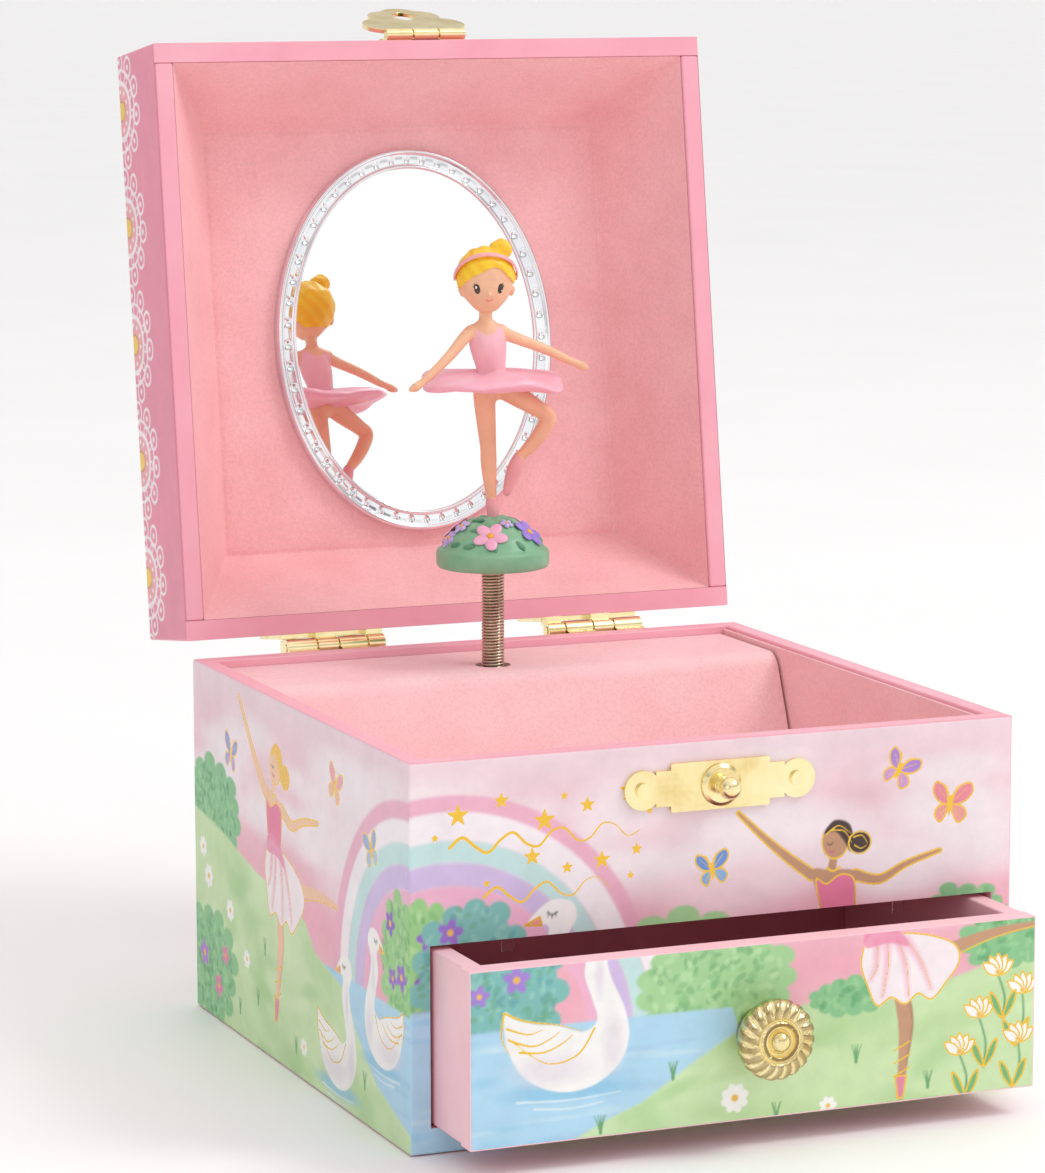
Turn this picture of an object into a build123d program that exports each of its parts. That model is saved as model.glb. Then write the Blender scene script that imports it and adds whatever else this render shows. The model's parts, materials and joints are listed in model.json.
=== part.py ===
from build123d import *
import os
from math import cos, pi, sin

# Musical jewellery box with a folding ballerina. Millimetres.
# Origin: middle of the underside. X to the right, Y to the back, Z up.
# Stored pose: lid open on its stops, drawer partly out, ballerina upright.

# ---- box -------------------------------------------------------------------
box_width = 110.0
box_depth = 110.0
body_height = 65.0
lid_height = 23.0
wall = 3.5
lid_wall = 3.6
lid_top_thickness = 3.0
bottom_thickness = 4.3
lid_gap = 0.3                  # between the body rim and the closed lid

# ---- drawer ----------------------------------------------------------------
opening_width = 102.9
opening_top = 34.7
drawer_side_gap = 0.4
drawer_top_gap = 0.8
drawer_floor_gap = 0.3
drawer_front_thickness = 4.0
drawer_wall = 3.5
drawer_bottom_thickness = 2.4
drawer_pull = 16.2             # how far the drawer stands out in the stored pose
drawer_rear_gap = 2.0
knob_z = 19.3
knob_radius = 6.75
knob_reach = 9.2
screw_radius = 1.3
fit = 0.05                     # radial clearance of pins, arbors and rivets

# ---- tray, movement cover --------------------------------------------------
tray_floor_thickness = 1.8
tray_floor_drop = 1.8          # drawer opening to the underside of the tray floor
lining = 0.6
cover_thickness = 1.2
cover_below_rim = 1.5
cover_depth = 23.5             # back wall to the cover's front edge
cover_slope = 0.41             # how far the sloping face leans out, per mm down
cover_edge_radius = 4.0
cover_end_gap = 0.5
bay_depth = 38.5               # back wall to the partition
partition_thickness = 2.0
tab_x = 36.0
tab_width = 2.2
tab_drop = 3.2
tab_thickness = 0.5
tab_behind_drawer = 0.3        # gap to the drawer front when it is shut

# ---- lid and hinges --------------------------------------------------------
lid_open_angle = 97.9
hinge_behind = 2.7             # hinge axis behind the back face
hinge_rise = 0.2               # hinge axis above the body rim
hinge_centre_x = 26.3
hinge_length = 19.6
hinge_cuts = (6.0, 10.3, 16.0)  # ends of the knuckles, from the outer end
leaf_thickness = 1.0
leaf_height = 12.0
knuckle_radius = 1.7
hinge_pin_radius = 0.8
nail_radius = 0.6
nail_head_radius = 1.3
nail_length = 3.0
liner_depth = 18.6
liner_run = 10.9               # how far the sloping liner comes in from the wall
liner_thickness = 0.9
liner_gap = 0.2
mirror_x_radius = 28.2
mirror_z_radius = 36.7
mirror_rim = 4.5
mirror_thickness = 2.6
glass_thickness = 1.5
mirror_shift = 0.6

# ---- catch and hasp --------------------------------------------------------
stud_drop = 7.5                # body rim down to the stud
catch_length = 34.7
catch_height = 8.2
catch_thickness = 0.8
stud_dome_radius = 3.6
stud_ball_radius = 1.9
hasp_drop = 11.5               # hasp pivot to the middle of its hole
hasp_stand_off = 1.5
hasp_width = 20.5
hasp_thickness = 0.8
hasp_barrel_radius = 1.1
hasp_pin_radius = 0.55
hasp_leaf_width = 15.8
hasp_lift = 158.0              # turned up from hanging, in the stored pose

# ---- ballerina -------------------------------------------------------------
figure_x = -3.2
figure_to_back = 15.5          # back wall's inner face to the ballerina's axis
fold_above_cover = 3.2
spring_radius = 2.15
spring_bore = 1.7
spring_length = 15.0           # fold point to the flower base
flower_base_radius = 10.4
flower_base_thickness = 3.6
mound_height = 5.8
leg_height = 24.7
tutu_radius = 13.0
head_radius = 5.3
figure_height = 55.2           # flower base top to the crown of the head
arm_reach = 17.1

# ---- musical movement ------------------------------------------------------
bedplate_thickness = 2.0
arbor_radius = 1.5
gear_module = 0.5
crown_teeth = 36
pinion_teeth = 9
crown_tooth_depth = 1.0
crown_thickness = 1.4
barrel_radius = 9.2
barrel_floor_gap = 1.5
barrel_length = 8.0
barrel_wall = 0.8
spring_turns = 6
cylinder_radius = 6.5
cylinder_length = 17.0
cylinder_arbor_radius = 1.0
pin_radius = 0.22
pin_height = 0.3
comb_notes = 18
comb_pitch = 0.9
comb_thickness = 0.9
worm_module = 0.4
worm_wheel_teeth = 16
worm_radius = 1.2
fly_radius = 3.0
key_reach = 14.0


# ---- helpers ---------------------------------------------------------------
def block(x0, x1, y0, y1, z0, z1):
    return Pos((x0 + x1) / 2, (y0 + y1) / 2, (z0 + z1) / 2) * Box(x1 - x0, y1 - y0, z1 - z0)


def rod_x(x0, x1, y, z, r):
    return Pos((x0 + x1) / 2, y, z) * Rot(0, 90, 0) * Cylinder(r, x1 - x0)


def rod_y(x, y0, y1, z, r):
    return Pos(x, (y0 + y1) / 2, z) * Rot(90, 0, 0) * Cylinder(r, y1 - y0)


def rod_z(x, y, z0, z1, r):
    return Pos(x, y, (z0 + z1) / 2) * Cylinder(r, z1 - z0)


def facing_front(sketch, y, thickness):
    """A flat shape drawn in X and Z, standing at y, that thick towards the back."""
    return extrude(Plane((0, y, 0), x_dir=(1, 0, 0), z_dir=(0, -1, 0)) * sketch, -thickness)


def turned_about_x(shape, angle, y, z):
    return Pos(0, y, z) * Rot(angle, 0, 0) * Pos(0, -y, -z) * shape


def nail_y(x, z, y_seat, direction):
    """A dome-headed nail driven along Y; direction is +1 when it points to +Y."""
    shank = rod_y(x, min(y_seat, y_seat + direction * nail_length),
                  max(y_seat, y_seat + direction * nail_length), z, nail_radius)
    head = Pos(x, y_seat, z) * Rot(90 * direction, 0, 0) * extrude(Circle(nail_head_radius), 0.6)
    return shank + head


def nail_hole(x, z, y_seat, direction):
    reach = y_seat + direction * (nail_length + 0.1)
    return rod_y(x, min(y_seat - direction, reach), max(y_seat - direction, reach), z,
                 nail_radius + fit)


def spur_gear(teeth, module, thickness, bore):
    """A straight gear round Z with slim teeth, so that it always has backlash."""
    pitch = module * teeth / 2
    root, tip = pitch - 0.95 * module, pitch + 0.75 * module
    points = []
    for i in range(teeth):
        middle = 2 * pi * i / teeth
        flank = [(root, 0.30), (pitch, 0.20), (tip, 0.08)]
        points += [(r, middle - share * pi * module / r) for r, share in flank]
        points += [(r, middle + share * pi * module / r) for r, share in reversed(flank)]
    outline = Polyline([(r * cos(a), r * sin(a)) for r, a in points], close=True)
    return extrude(make_face(outline) - Circle(bore), thickness)


def save(name, *shapes):
    solids = [s for shape in shapes for s in shape.solids()]
    export_step(solids[0] if len(solids) == 1 else Compound(solids), f"parts/{name}.step")


os.makedirs("parts", exist_ok=True)

# ---- places shared by the pieces -------------------------------------------
half_w, half_d = box_width / 2, box_depth / 2
in_x, in_y = half_w - wall, half_d - wall
tray_floor_top = opening_top + tray_floor_drop + tray_floor_thickness
cover_top = body_height - cover_below_rim
cover_front_y = in_y - cover_depth
partition_y = in_y - bay_depth
figure_y = in_y - figure_to_back
fold_z = cover_top + fold_above_cover
hinge_y, hinge_z = half_d + hinge_behind, body_height + hinge_rise
arbor_z = bottom_thickness + barrel_floor_gap + barrel_radius
stud_z = body_height - stud_drop
bedplate_y = in_y - bedplate_thickness

# ---- body panels -----------------------------------------------------------
catch_nail_x = catch_length / 2 - 3.3
leaf_top = hinge_z - knuckle_radius - 0.3
leaf_nail_z = leaf_top - leaf_height / 2
hinge_nail_xs = [side * (hinge_centre_x + shift) for side in (-1, 1) for shift in (-6.0, 6.0)]
bedplate_half_w, bedplate_top = 26.0, arbor_z + 37.0
bedplate_screw_spots = [(figure_x - 22.0, arbor_z + 6.0), (figure_x + 22.0, arbor_z - 6.0),
                        (figure_x + 22.0, bedplate_top - 4.0)]

front = block(-half_w, half_w, -half_d, -in_y, 0, body_height)
front -= block(-opening_width / 2, opening_width / 2, -half_d - 1, -in_y + 1, bottom_thickness,
               opening_top)
for x in (-catch_nail_x, catch_nail_x):
    front -= nail_hole(x, stud_z, -half_d - catch_thickness, 1)
front -= rod_y(0, -half_d - 1, -in_y + 1, stud_z, screw_radius + fit)
save("front_panel", front)

back = block(-half_w, half_w, in_y, half_d, 0, body_height)
back -= rod_y(figure_x, in_y - 1, half_d + 1, arbor_z, arbor_radius + 1.5)
for x in hinge_nail_xs:
    back -= nail_hole(x, leaf_nail_z, half_d + leaf_thickness, -1)
for x, z in bedplate_screw_spots:
    back -= rod_y(x, in_y - 1, in_y + 2.6, z, screw_radius + fit)
save("back_panel", back)

for name, side in (("left_panel", -1), ("right_panel", 1)):
    low, high = sorted((side * in_x, side * half_w))
    save(name, block(low, high, -in_y, in_y, 0, body_height))

save("bottom_panel", block(-in_x, in_x, -in_y, in_y, 0, bottom_thickness))

# ---- tray ------------------------------------------------------------------
cover_foot_y = cover_front_y - 0.8 - cover_slope * (cover_top - tray_floor_top)
tray_back_y = cover_foot_y + 3.0
save("tray_floor", block(-in_x, in_x, -in_y, tray_back_y, tray_floor_top - tray_floor_thickness,
                         tray_floor_top))
save("bay_partition", block(-in_x, in_x, partition_y, partition_y + partition_thickness,
                            bottom_thickness, tray_floor_top - tray_floor_thickness))

lining_top = body_height - 0.6
tray_lining = block(-in_x, in_x, -in_y, in_y, tray_floor_top, lining_top)
tray_lining -= block(-in_x + lining, in_x - lining, -in_y + lining, in_y + 1, tray_floor_top - 1,
                     lining_top + 1)
save("tray_lining", tray_lining)

# ---- movement cover: a bent card shelf over the movement -------------------
cover_half = in_x - lining - cover_end_gap
cover_outside = Polyline(
    (cover_foot_y, tray_floor_top + 0.1),
    (cover_front_y - 0.8, cover_top),
    (in_y - 0.2, cover_top),
    (in_y - 0.2, cover_top - cover_thickness),
    (cover_front_y + 0.4, cover_top - cover_thickness),
    (cover_foot_y + 1.3 * cover_thickness, tray_floor_top + 0.1),
    close=True,
)
cover_profile = make_face(cover_outside)
bend = cover_profile.vertices().filter_by(lambda v: abs(v.X - cover_front_y + 0.8) < 0.01)
cover_profile = fillet(bend, cover_edge_radius)
side_plane = Plane((-cover_half, 0, 0), x_dir=(0, 1, 0), z_dir=(1, 0, 0))
cover = extrude(side_plane * cover_profile, 2 * cover_half)
cover -= rod_z(figure_x, figure_y, cover_top - 8, cover_top + 1, spring_radius + 1.1)
save("movement_cover", cover)

ledge_top = cover_top - cover_thickness - 0.05
save("cover_ledge", block(-in_x + 4, in_x - 4, in_y - 3.0, in_y, ledge_top - 3.0, ledge_top))

# ---- drawer stops: clear tabs hung under the tray floor --------------------
tab_y = -half_d + drawer_front_thickness + tab_behind_drawer
tabs = []
for x in (-tab_x, tab_x):
    tabs.append(block(x - tab_width / 2, x + tab_width / 2, tab_y, tab_y + tab_thickness,
                      opening_top - tab_drop, tray_floor_top - tray_floor_thickness))
save("drawer_stop_tabs", *tabs)

# ---- catch plate and stud --------------------------------------------------
catch_middle = 9.0
lobe = 6.6
plate = RectangleRounded(2 * catch_middle, catch_height, 0.4)
plate += Rectangle(catch_length - lobe, lobe - 2.2)
for side in (-1, 1):
    plate += Pos(side * (catch_length / 2 - lobe / 2), 0) * Circle(lobe / 2)
    plate += Pos(side * (catch_middle + 1.3), 0) * Rectangle(2.8, catch_height - 2.2)
plate -= Circle(screw_radius + fit)
for side in (-1, 1):
    plate -= Pos(side * catch_nail_x, 0) * Circle(nail_radius + fit)
catch_plate = facing_front(Pos(0, stud_z) * plate, -half_d - catch_thickness, catch_thickness)
save("catch_plate", catch_plate)

stud_seat = -half_d - catch_thickness
stud_profile = Polyline((0, 0), (stud_dome_radius, 0), (stud_dome_radius, 0.35),
                        (stud_dome_radius - 0.7, 0.85), (1.4, 0.9), (1.15, 1.6), (1.15, 2.6),
                        (0, 2.6), close=True)
stud = revolve(Plane.XZ * make_face(stud_profile), Axis.Z) + Pos(0, 0, 3.6) * Sphere(stud_ball_radius)
stud = Pos(0, stud_seat, stud_z) * Rot(90, 0, 0) * stud
stud += rod_y(0, stud_seat, -in_y, stud_z, screw_radius)
save("catch_stud", stud)

# ---- lid hinges ------------------------------------------------------------
knuckle_ends = (0.0, *hinge_cuts, hinge_length)
knuckle_gap = 0.15


def hinge_leaf(side, on_lid):
    """One leaf with its knuckles, as it stands with the lid closed."""
    outer = side * (hinge_centre_x + hinge_length / 2)
    if on_lid:
        z0, z1 = hinge_z + knuckle_radius + 0.3, hinge_z + knuckle_radius + 0.3 + leaf_height
    else:
        z0, z1 = leaf_top - leaf_height, leaf_top
    x0, x1 = sorted((outer, outer - side * hinge_length))
    leaf = block(x0, x1, half_d, half_d + leaf_thickness, z0, z1)
    for i in range(len(knuckle_ends) - 1):
        if (i % 2 == 1) != on_lid:
            continue
        ends = sorted((outer - side * knuckle_ends[i], outer - side * knuckle_ends[i + 1]))
        k0, k1 = ends[0] + knuckle_gap, ends[1] - knuckle_gap
        z_near = z0 + 0.5 if on_lid else z1 - 0.5
        leaf += block(k0, k1, half_d, half_d + leaf_thickness + 0.7, min(z_near, hinge_z),
                      max(z_near, hinge_z))
        leaf += rod_x(k0, k1, hinge_y, hinge_z, knuckle_radius)
        if not on_lid:
            leaf += block(k0, k1, hinge_y + 0.6, hinge_y + 3.0, hinge_z - 1.4, hinge_z + 1.05)
    leaf -= rod_x(x0 - 1, x1 + 1, hinge_y, hinge_z, hinge_pin_radius + fit)
    for x in hinge_nail_xs:
        z = leaf_nail_z if not on_lid else z1 - leaf_height / 2
        leaf -= rod_y(x, half_d - 1, half_d + 3, z, nail_radius + fit)
    return leaf


save("hinge_body_leaves", *[hinge_leaf(side, False) for side in (-1, 1)])
pins = []
for side in (-1, 1):
    x0, x1 = sorted((side * (hinge_centre_x - hinge_length / 2), side * (hinge_centre_x + hinge_length / 2)))
    pins.append(rod_x(x0, x1, hinge_y, hinge_z, hinge_pin_radius))
save("hinge_pins", *pins)
body_nails = [nail_y(x, stud_z, stud_seat, 1) for x in (-catch_nail_x, catch_nail_x)]
body_nails += [nail_y(x, leaf_nail_z, half_d + leaf_thickness, -1) for x in hinge_nail_xs]
save("body_nails", *body_nails)


# ---- lid, drawn closed and then turned open --------------------------------
def opened(shape):
    return turned_about_x(shape, -lid_open_angle, hinge_y, hinge_z)


def save_lid(name, *shapes):
    save(name, *[opened(s) for s in shapes])


rim_z = body_height + lid_gap
lid_top_z = body_height + lid_height
lid_wall_top = lid_top_z - lid_top_thickness
lid_in_x, lid_in_y = half_w - lid_wall, half_d - lid_wall
lid_leaf_nail_z = hinge_z + knuckle_radius + 0.3 + leaf_height / 2
hasp_z = stud_z + hasp_drop
hasp_y = -half_d - hasp_stand_off
hasp_nail_x = hasp_leaf_width / 2 - 2.4
hasp_leaf_top = hasp_z + 9.0
hasp_nail_z = hasp_leaf_top - 2.6

save_lid("lid_top_panel", block(-half_w, half_w, -half_d, half_d, lid_wall_top, lid_top_z))
lid_front = block(-half_w, half_w, -half_d, -lid_in_y, rim_z, lid_wall_top)
for x in (-hasp_nail_x, hasp_nail_x):
    lid_front -= nail_hole(x, hasp_nail_z, -half_d - hasp_thickness, 1)
save_lid("lid_front_wall", lid_front)
lid_back = block(-half_w, half_w, lid_in_y, half_d, rim_z, lid_wall_top)
for x in hinge_nail_xs:
    lid_back -= nail_hole(x, lid_leaf_nail_z, half_d + leaf_thickness, -1)
save_lid("lid_back_wall", lid_back)
for name, side in (("lid_left_wall", -1), ("lid_right_wall", 1)):
    low, high = sorted((side * lid_in_x, side * half_w))
    save_lid(name, block(low, high, -lid_in_y, lid_in_y, rim_z, lid_wall_top))

liner_panel_z = rim_z + liner_depth


def liner_frustum(inset, z0, z1):
    """The space inside the lid from z0 to z1, narrowing upwards."""
    mouth_x, mouth_y = 2 * (lid_in_x - inset), 2 * (lid_in_y - inset)
    mouth = Plane.XY.offset(z0) * Rectangle(mouth_x, mouth_y)
    end = Plane.XY.offset(z1) * Rectangle(mouth_x - 2 * liner_run, mouth_y - 2 * liner_run)
    return loft([mouth.face(), end.face()])


liner_walls = liner_frustum(liner_gap, rim_z + 0.4, liner_panel_z)
liner_walls -= liner_frustum(liner_gap + liner_thickness, rim_z + 0.4, liner_panel_z)
save_lid("lid_liner_walls", liner_walls)
panel_x, panel_y = lid_in_x - liner_gap - liner_run, lid_in_y - liner_gap - liner_run
save_lid("lid_liner_panel", block(-panel_x, panel_x, -panel_y, panel_y, liner_panel_z,
                                  liner_panel_z + liner_thickness))


def oval(inset):
    return Pos(0, mirror_shift) * Ellipse(mirror_x_radius - inset, mirror_z_radius - inset)


mirror_face_z = liner_panel_z - mirror_thickness
frame = extrude(Plane.XY.offset(mirror_face_z) * (oval(0) - oval(mirror_rim)), mirror_thickness)
rebate = Plane.XY.offset(liner_panel_z - glass_thickness - 0.1) * oval(mirror_rim - 0.9)
frame -= extrude(rebate, glass_thickness + 1)
save_lid("mirror_frame", frame)
save_lid("mirror_glass", extrude(Plane.XY.offset(liner_panel_z - glass_thickness) * oval(mirror_rim - 0.85),
                                 glass_thickness))

save_lid("hinge_lid_leaves", *[hinge_leaf(side, True) for side in (-1, 1)])

# ---- hasp ------------------------------------------------------------------
hasp_leaf = facing_front(Pos(0, (hasp_z + hasp_leaf_top) / 2 + 0.8)
                         * RectangleRounded(hasp_leaf_width, hasp_leaf_top - hasp_z - 1.6, 0.8),
                         -half_d - hasp_thickness, hasp_thickness)
barrel_end = hasp_leaf_width / 2
barrel_third = hasp_leaf_width / 6
for side in (-1, 1):
    x0, x1 = sorted((side * (barrel_third + knuckle_gap), side * barrel_end))
    hasp_leaf += rod_x(x0, x1, hasp_y, hasp_z, hasp_barrel_radius)
    hasp_leaf += block(x0, x1, -half_d - hasp_thickness, -half_d, hasp_z - 0.3, hasp_z + 2.4)
hasp_leaf -= rod_x(-barrel_end - 1, barrel_end + 1, hasp_y, hasp_z, hasp_pin_radius + fit)
for x in (-hasp_nail_x, hasp_nail_x):
    hasp_leaf -= rod_y(x, -half_d - 3, -half_d + 1, hasp_nail_z, nail_radius + fit)
save_lid("hasp_leaf", hasp_leaf)
lid_nails = [nail_y(x, hasp_nail_z, -half_d - hasp_thickness, 1) for x in (-hasp_nail_x, hasp_nail_x)]
lid_nails += [nail_y(x, lid_leaf_nail_z, half_d + leaf_thickness, -1) for x in hinge_nail_xs]
save_lid("lid_nails", *lid_nails)
save_lid("hasp_pin", rod_x(-barrel_end, barrel_end, hasp_y, hasp_z, hasp_pin_radius))

hasp_tip = hasp_drop + 5.6
hasp_shape = Pos(0, -2.9) * Rectangle(2 * barrel_end - 2, 3.4)
for x, drop, r in ((-6.4, 6.0, 3.85), (6.4, 6.0, 3.85), (0, 6.4, 5.2), (-3.6, hasp_drop, 3.6),
                   (3.6, hasp_drop, 3.6), (0, hasp_tip - 4.2, 4.2)):
    hasp_shape += Pos(x, -drop) * Circle(r)
hasp_shape -= Pos(0, -hasp_drop) * Ellipse(2.15, 2.6)
hasp_plate = facing_front(Pos(0, hasp_z) * hasp_shape, hasp_y - hasp_thickness / 2, hasp_thickness)
tongue = barrel_third - knuckle_gap
hasp_plate += rod_x(-tongue, tongue, hasp_y, hasp_z, hasp_barrel_radius)
hasp_plate += block(-tongue, tongue, hasp_y - hasp_thickness / 2, hasp_y + hasp_thickness / 2,
                    hasp_z - 2.0, hasp_z)
hasp_plate -= rod_x(-tongue - 1, tongue + 1, hasp_y, hasp_z, hasp_pin_radius + fit)
save_lid("hasp_plate", turned_about_x(hasp_plate, -hasp_lift, hasp_y, hasp_z))


# ---- drawer, drawn closed and then pulled out ------------------------------
def save_drawer(name, *shapes):
    save(name, *[Pos(0, -drawer_pull, 0) * s for s in shapes])


drawer_half = opening_width / 2 - drawer_side_gap
drawer_z = bottom_thickness + drawer_floor_gap
drawer_top = opening_top - drawer_top_gap
drawer_back_y = partition_y - drawer_rear_gap
drawer_front_in = -half_d + drawer_front_thickness
drawer_side_out = min(drawer_half - 0.3, in_x - 0.6)
drawer_side_in = drawer_side_out - drawer_wall
drawer_floor_top = drawer_z + drawer_bottom_thickness

drawer_front = block(-drawer_half, drawer_half, -half_d, drawer_front_in, drawer_z, drawer_top)
drawer_front -= rod_y(0, -half_d - 1, drawer_front_in + 1, knob_z, screw_radius + fit)
save_drawer("drawer_front", drawer_front)
for name, side in (("drawer_left_side", -1), ("drawer_right_side", 1)):
    low, high = sorted((side * drawer_side_in, side * drawer_side_out))
    save_drawer(name, block(low, high, drawer_front_in, drawer_back_y, drawer_z, drawer_top))
save_drawer("drawer_back", block(-drawer_side_in, drawer_side_in, drawer_back_y - drawer_wall,
                                 drawer_back_y, drawer_z, drawer_top))
save_drawer("drawer_bottom", block(-drawer_side_in, drawer_side_in, drawer_front_in,
                                   drawer_back_y - drawer_wall, drawer_z, drawer_floor_top))

flutes = 18
knob_profile = Polyline((0, 0), (4.2, 0), (4.2, 1.0), (2.9, 1.9), (2.9, 3.0), (knob_radius - 0.5, 4.3),
                        (knob_radius, 5.3), (knob_radius, 6.5), (knob_radius - 0.8, 7.7),
                        (3.4, 8.1), (3.0, 7.6), (1.9, 7.6), (1.5, knob_reach - 0.4),
                        (0, knob_reach), close=True)
knob = revolve(Plane.XZ * make_face(knob_profile), Axis.Z)
for i in range(flutes):
    groove = Pos(knob_radius + 0.25, 0, 6.6) * Rot(30, 12, 0) * Cylinder(0.6, 5.0)
    knob -= Rot(0, 0, 360 * i / flutes) * groove
knob = Pos(0, -half_d, knob_z) * Rot(90, 0, 0) * knob
knob -= rod_y(0, -half_d - 4.2, -half_d, knob_z, screw_radius + fit)
save_drawer("drawer_knob", knob)
knob_screw = rod_y(0, -half_d - 4.0, drawer_front_in, knob_z, screw_radius)
knob_screw += rod_y(0, drawer_front_in, drawer_front_in + 1.4, knob_z, 2.6)
knob_screw -= block(-3, 3, drawer_front_in + 0.7, drawer_front_in + 2, knob_z - 0.35, knob_z + 0.35)
save_drawer("knob_screw", knob_screw)

# ---- ballerina -------------------------------------------------------------
base_z = fold_z + spring_length
base_top = base_z + flower_base_thickness
mound_top = base_top + mound_height


def at_figure(shape):
    return Pos(figure_x, figure_y, 0) * shape


spindle_tip = cover_top + 1.0
foot_x, ankle_radius = 0.0, 1.15
spring_foot = cover_top - cover_thickness - 1.0
spring = rod_z(0, 0, spring_foot, base_z, spring_radius)
spring -= rod_z(0, 0, spring_foot - 1, base_z + 1, spring_bore)
save("ballerina_spring", at_figure(spring))

disc = Pos(0, 0, base_z) * extrude(Circle(flower_base_radius), flower_base_thickness)
disc = fillet(disc.edges().filter_by(GeomType.CIRCLE), 0.9)
mound = Pos(0, 0, base_top - 5.0) * Sphere(mound_height + 5.0)
disc += mound & rod_z(0, 0, base_top - 0.5, mound_top + 1, flower_base_radius - 0.95)
disc -= rod_z(foot_x, 0, mound_top - 2.0, mound_top + 3, ankle_radius + fit)
save("flower_base", at_figure(disc))


def limb(start, end, r0, r1):
    """A tapered round limb with ball ends."""
    line = Vector(*end) - Vector(*start)
    shaft = Plane(origin=start, z_dir=line) * Pos(0, 0, line.length / 2) * Cone(r0, r1, line.length)
    return shaft + Pos(*start) * Sphere(r0 + 0.03) + Pos(*end) * Sphere(r1 + 0.03)


hip_z = mound_top + leg_height
chest_z, shoulder_z = hip_z + 5.6, hip_z + 10.4
head_z = base_top + figure_height - head_radius
lean = -1.2                    # the shoulders and head lean a little to one side
standing_hip, raised_hip = (-1.4, 0, hip_z - 0.6), (1.6, -0.6, hip_z - 0.2)
knee = (9.8, -3.4, hip_z - 6.4)
raised_ankle = (4.3, -1.6, hip_z - 14.0)
toe = (2.5, -1.2, hip_z - 20.2)
standing_leg = limb((foot_x, 0, mound_top + 1.6), standing_hip, ankle_radius, 2.1)
thigh = limb(raised_hip, knee, 2.2, 1.5)
figure = standing_leg + rod_z(foot_x, 0, mound_top - 1.9, mound_top + 1.6, ankle_radius)
figure += thigh
figure += limb(knee, raised_ankle, 1.5, 1.0)
figure += limb(raised_ankle, toe, 1.1, 0.8)
figure += limb((0, 0, hip_z), (lean / 2, 0, chest_z), 2.7, 3.2)
figure += limb((lean / 2, 0, chest_z), (lean, 0, shoulder_z), 3.2, 1.9)
figure += limb((lean, 0, shoulder_z), (lean, 0, head_z - 3), 1.5, 1.3)
for side in (-1, 1):
    shoulder = (lean + side * 2.8, 0, shoulder_z - 0.6)
    elbow = (side * 0.64 * arm_reach, -2.4, shoulder_z - 5.8)
    hand = (side * arm_reach, -3.5, shoulder_z - 9.6 + side * 1.3)
    figure += limb(shoulder, elbow, 1.3, 1.05)
    figure += limb(elbow, hand, 1.05, 0.8)
figure += Pos(lean, 0, head_z) * Sphere(head_radius)
figure += Pos(lean + 1.8, 2.8, head_z + 4.2) * Sphere(2.6)
save("ballerina_figure", at_figure(figure))

tutu_profile = Polyline((1.5, 2.2), (6.0, 1.9), (tutu_radius - 0.5, 0.4), (tutu_radius, -0.1),
                        (tutu_radius - 0.5, -0.8), (6.0, -1.5), (1.5, -1.6), close=True)
tutu = Pos(0, 0, hip_z) * revolve(Plane.XZ * make_face(tutu_profile), Axis.Z)
tutu -= limb((0, 0, hip_z - 3.0), (lean / 2, 0, chest_z), 2.95, 3.3)
tutu -= limb(standing_hip, (-1.3, 0, hip_z - 5.0), 2.3, 2.1)
tutu -= limb(raised_hip, knee, 2.45, 1.75)
save("tutu", at_figure(tutu))

# ---- movement: bedplate, barrel and mainspring -----------------------------
gear_gap = 0.1
pinion_pitch = gear_module * pinion_teeth / 2
crown_pitch = gear_module * crown_teeth / 2
crown_back = figure_y + pinion_pitch + 0.65 * gear_module + gear_gap + crown_thickness
barrel_front = crown_back + 0.5
barrel_back = bedplate_y
cylinder_z = arbor_z + barrel_radius + 3.4
cylinder_top = cylinder_z + cylinder_length
gear_z = cylinder_top + 0.5
gear_thickness = 1.2

bedplate = block(figure_x - bedplate_half_w, figure_x + bedplate_half_w, bedplate_y, in_y,
                 arbor_z - crown_pitch, bedplate_top)
bedplate -= rod_y(figure_x, bedplate_y - 1, in_y + 1, arbor_z, arbor_radius + fit)
for x, z in bedplate_screw_spots:
    bedplate -= rod_y(x, bedplate_y - 1, in_y + 1, z, screw_radius + fit)
save("bedplate", bedplate)
screws = []
for x, z in bedplate_screw_spots:
    screw = rod_y(x, bedplate_y, in_y + 2.5, z, screw_radius)
    screw += rod_y(x, bedplate_y - 1.2, bedplate_y, z, 2.4)
    screw -= block(x - 3, x + 3, bedplate_y - 2, bedplate_y - 0.7, z - 0.3, z + 0.3)
    screws.append(screw)

barrel = rod_y(figure_x, barrel_front, barrel_back, arbor_z, barrel_radius)
barrel -= rod_y(figure_x, barrel_front + barrel_wall, barrel_back + 1, arbor_z, barrel_radius - barrel_wall)
barrel -= rod_y(figure_x, barrel_front - 1, barrel_back, arbor_z, arbor_radius + fit)
save("spring_barrel", barrel)

coil_in, coil_out = arbor_radius + 0.9, barrel_radius - barrel_wall - 0.9
coil_steps = 10 * spring_turns


def coil_point(i, shift):
    angle = 2 * pi * spring_turns * i / coil_steps
    radius = coil_in + (coil_out - coil_in) * i / coil_steps + shift
    return (radius * cos(angle), radius * sin(angle))


strip = 0.3
inner_edge = Spline([coil_point(i, 0) for i in range(coil_steps + 1)])
outer_edge = Spline([coil_point(i, strip) for i in range(coil_steps + 1)])
ends = [Line(inner_edge @ 0, outer_edge @ 0), Line(inner_edge @ 1, outer_edge @ 1)]
coil = extrude(make_face([inner_edge, ends[1], outer_edge, ends[0]]),
               barrel_back - barrel_front - barrel_wall - 1.0)
save("mainspring", Pos(figure_x, barrel_back - 0.5, arbor_z) * Rot(90, 0, 0) * coil)

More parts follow.
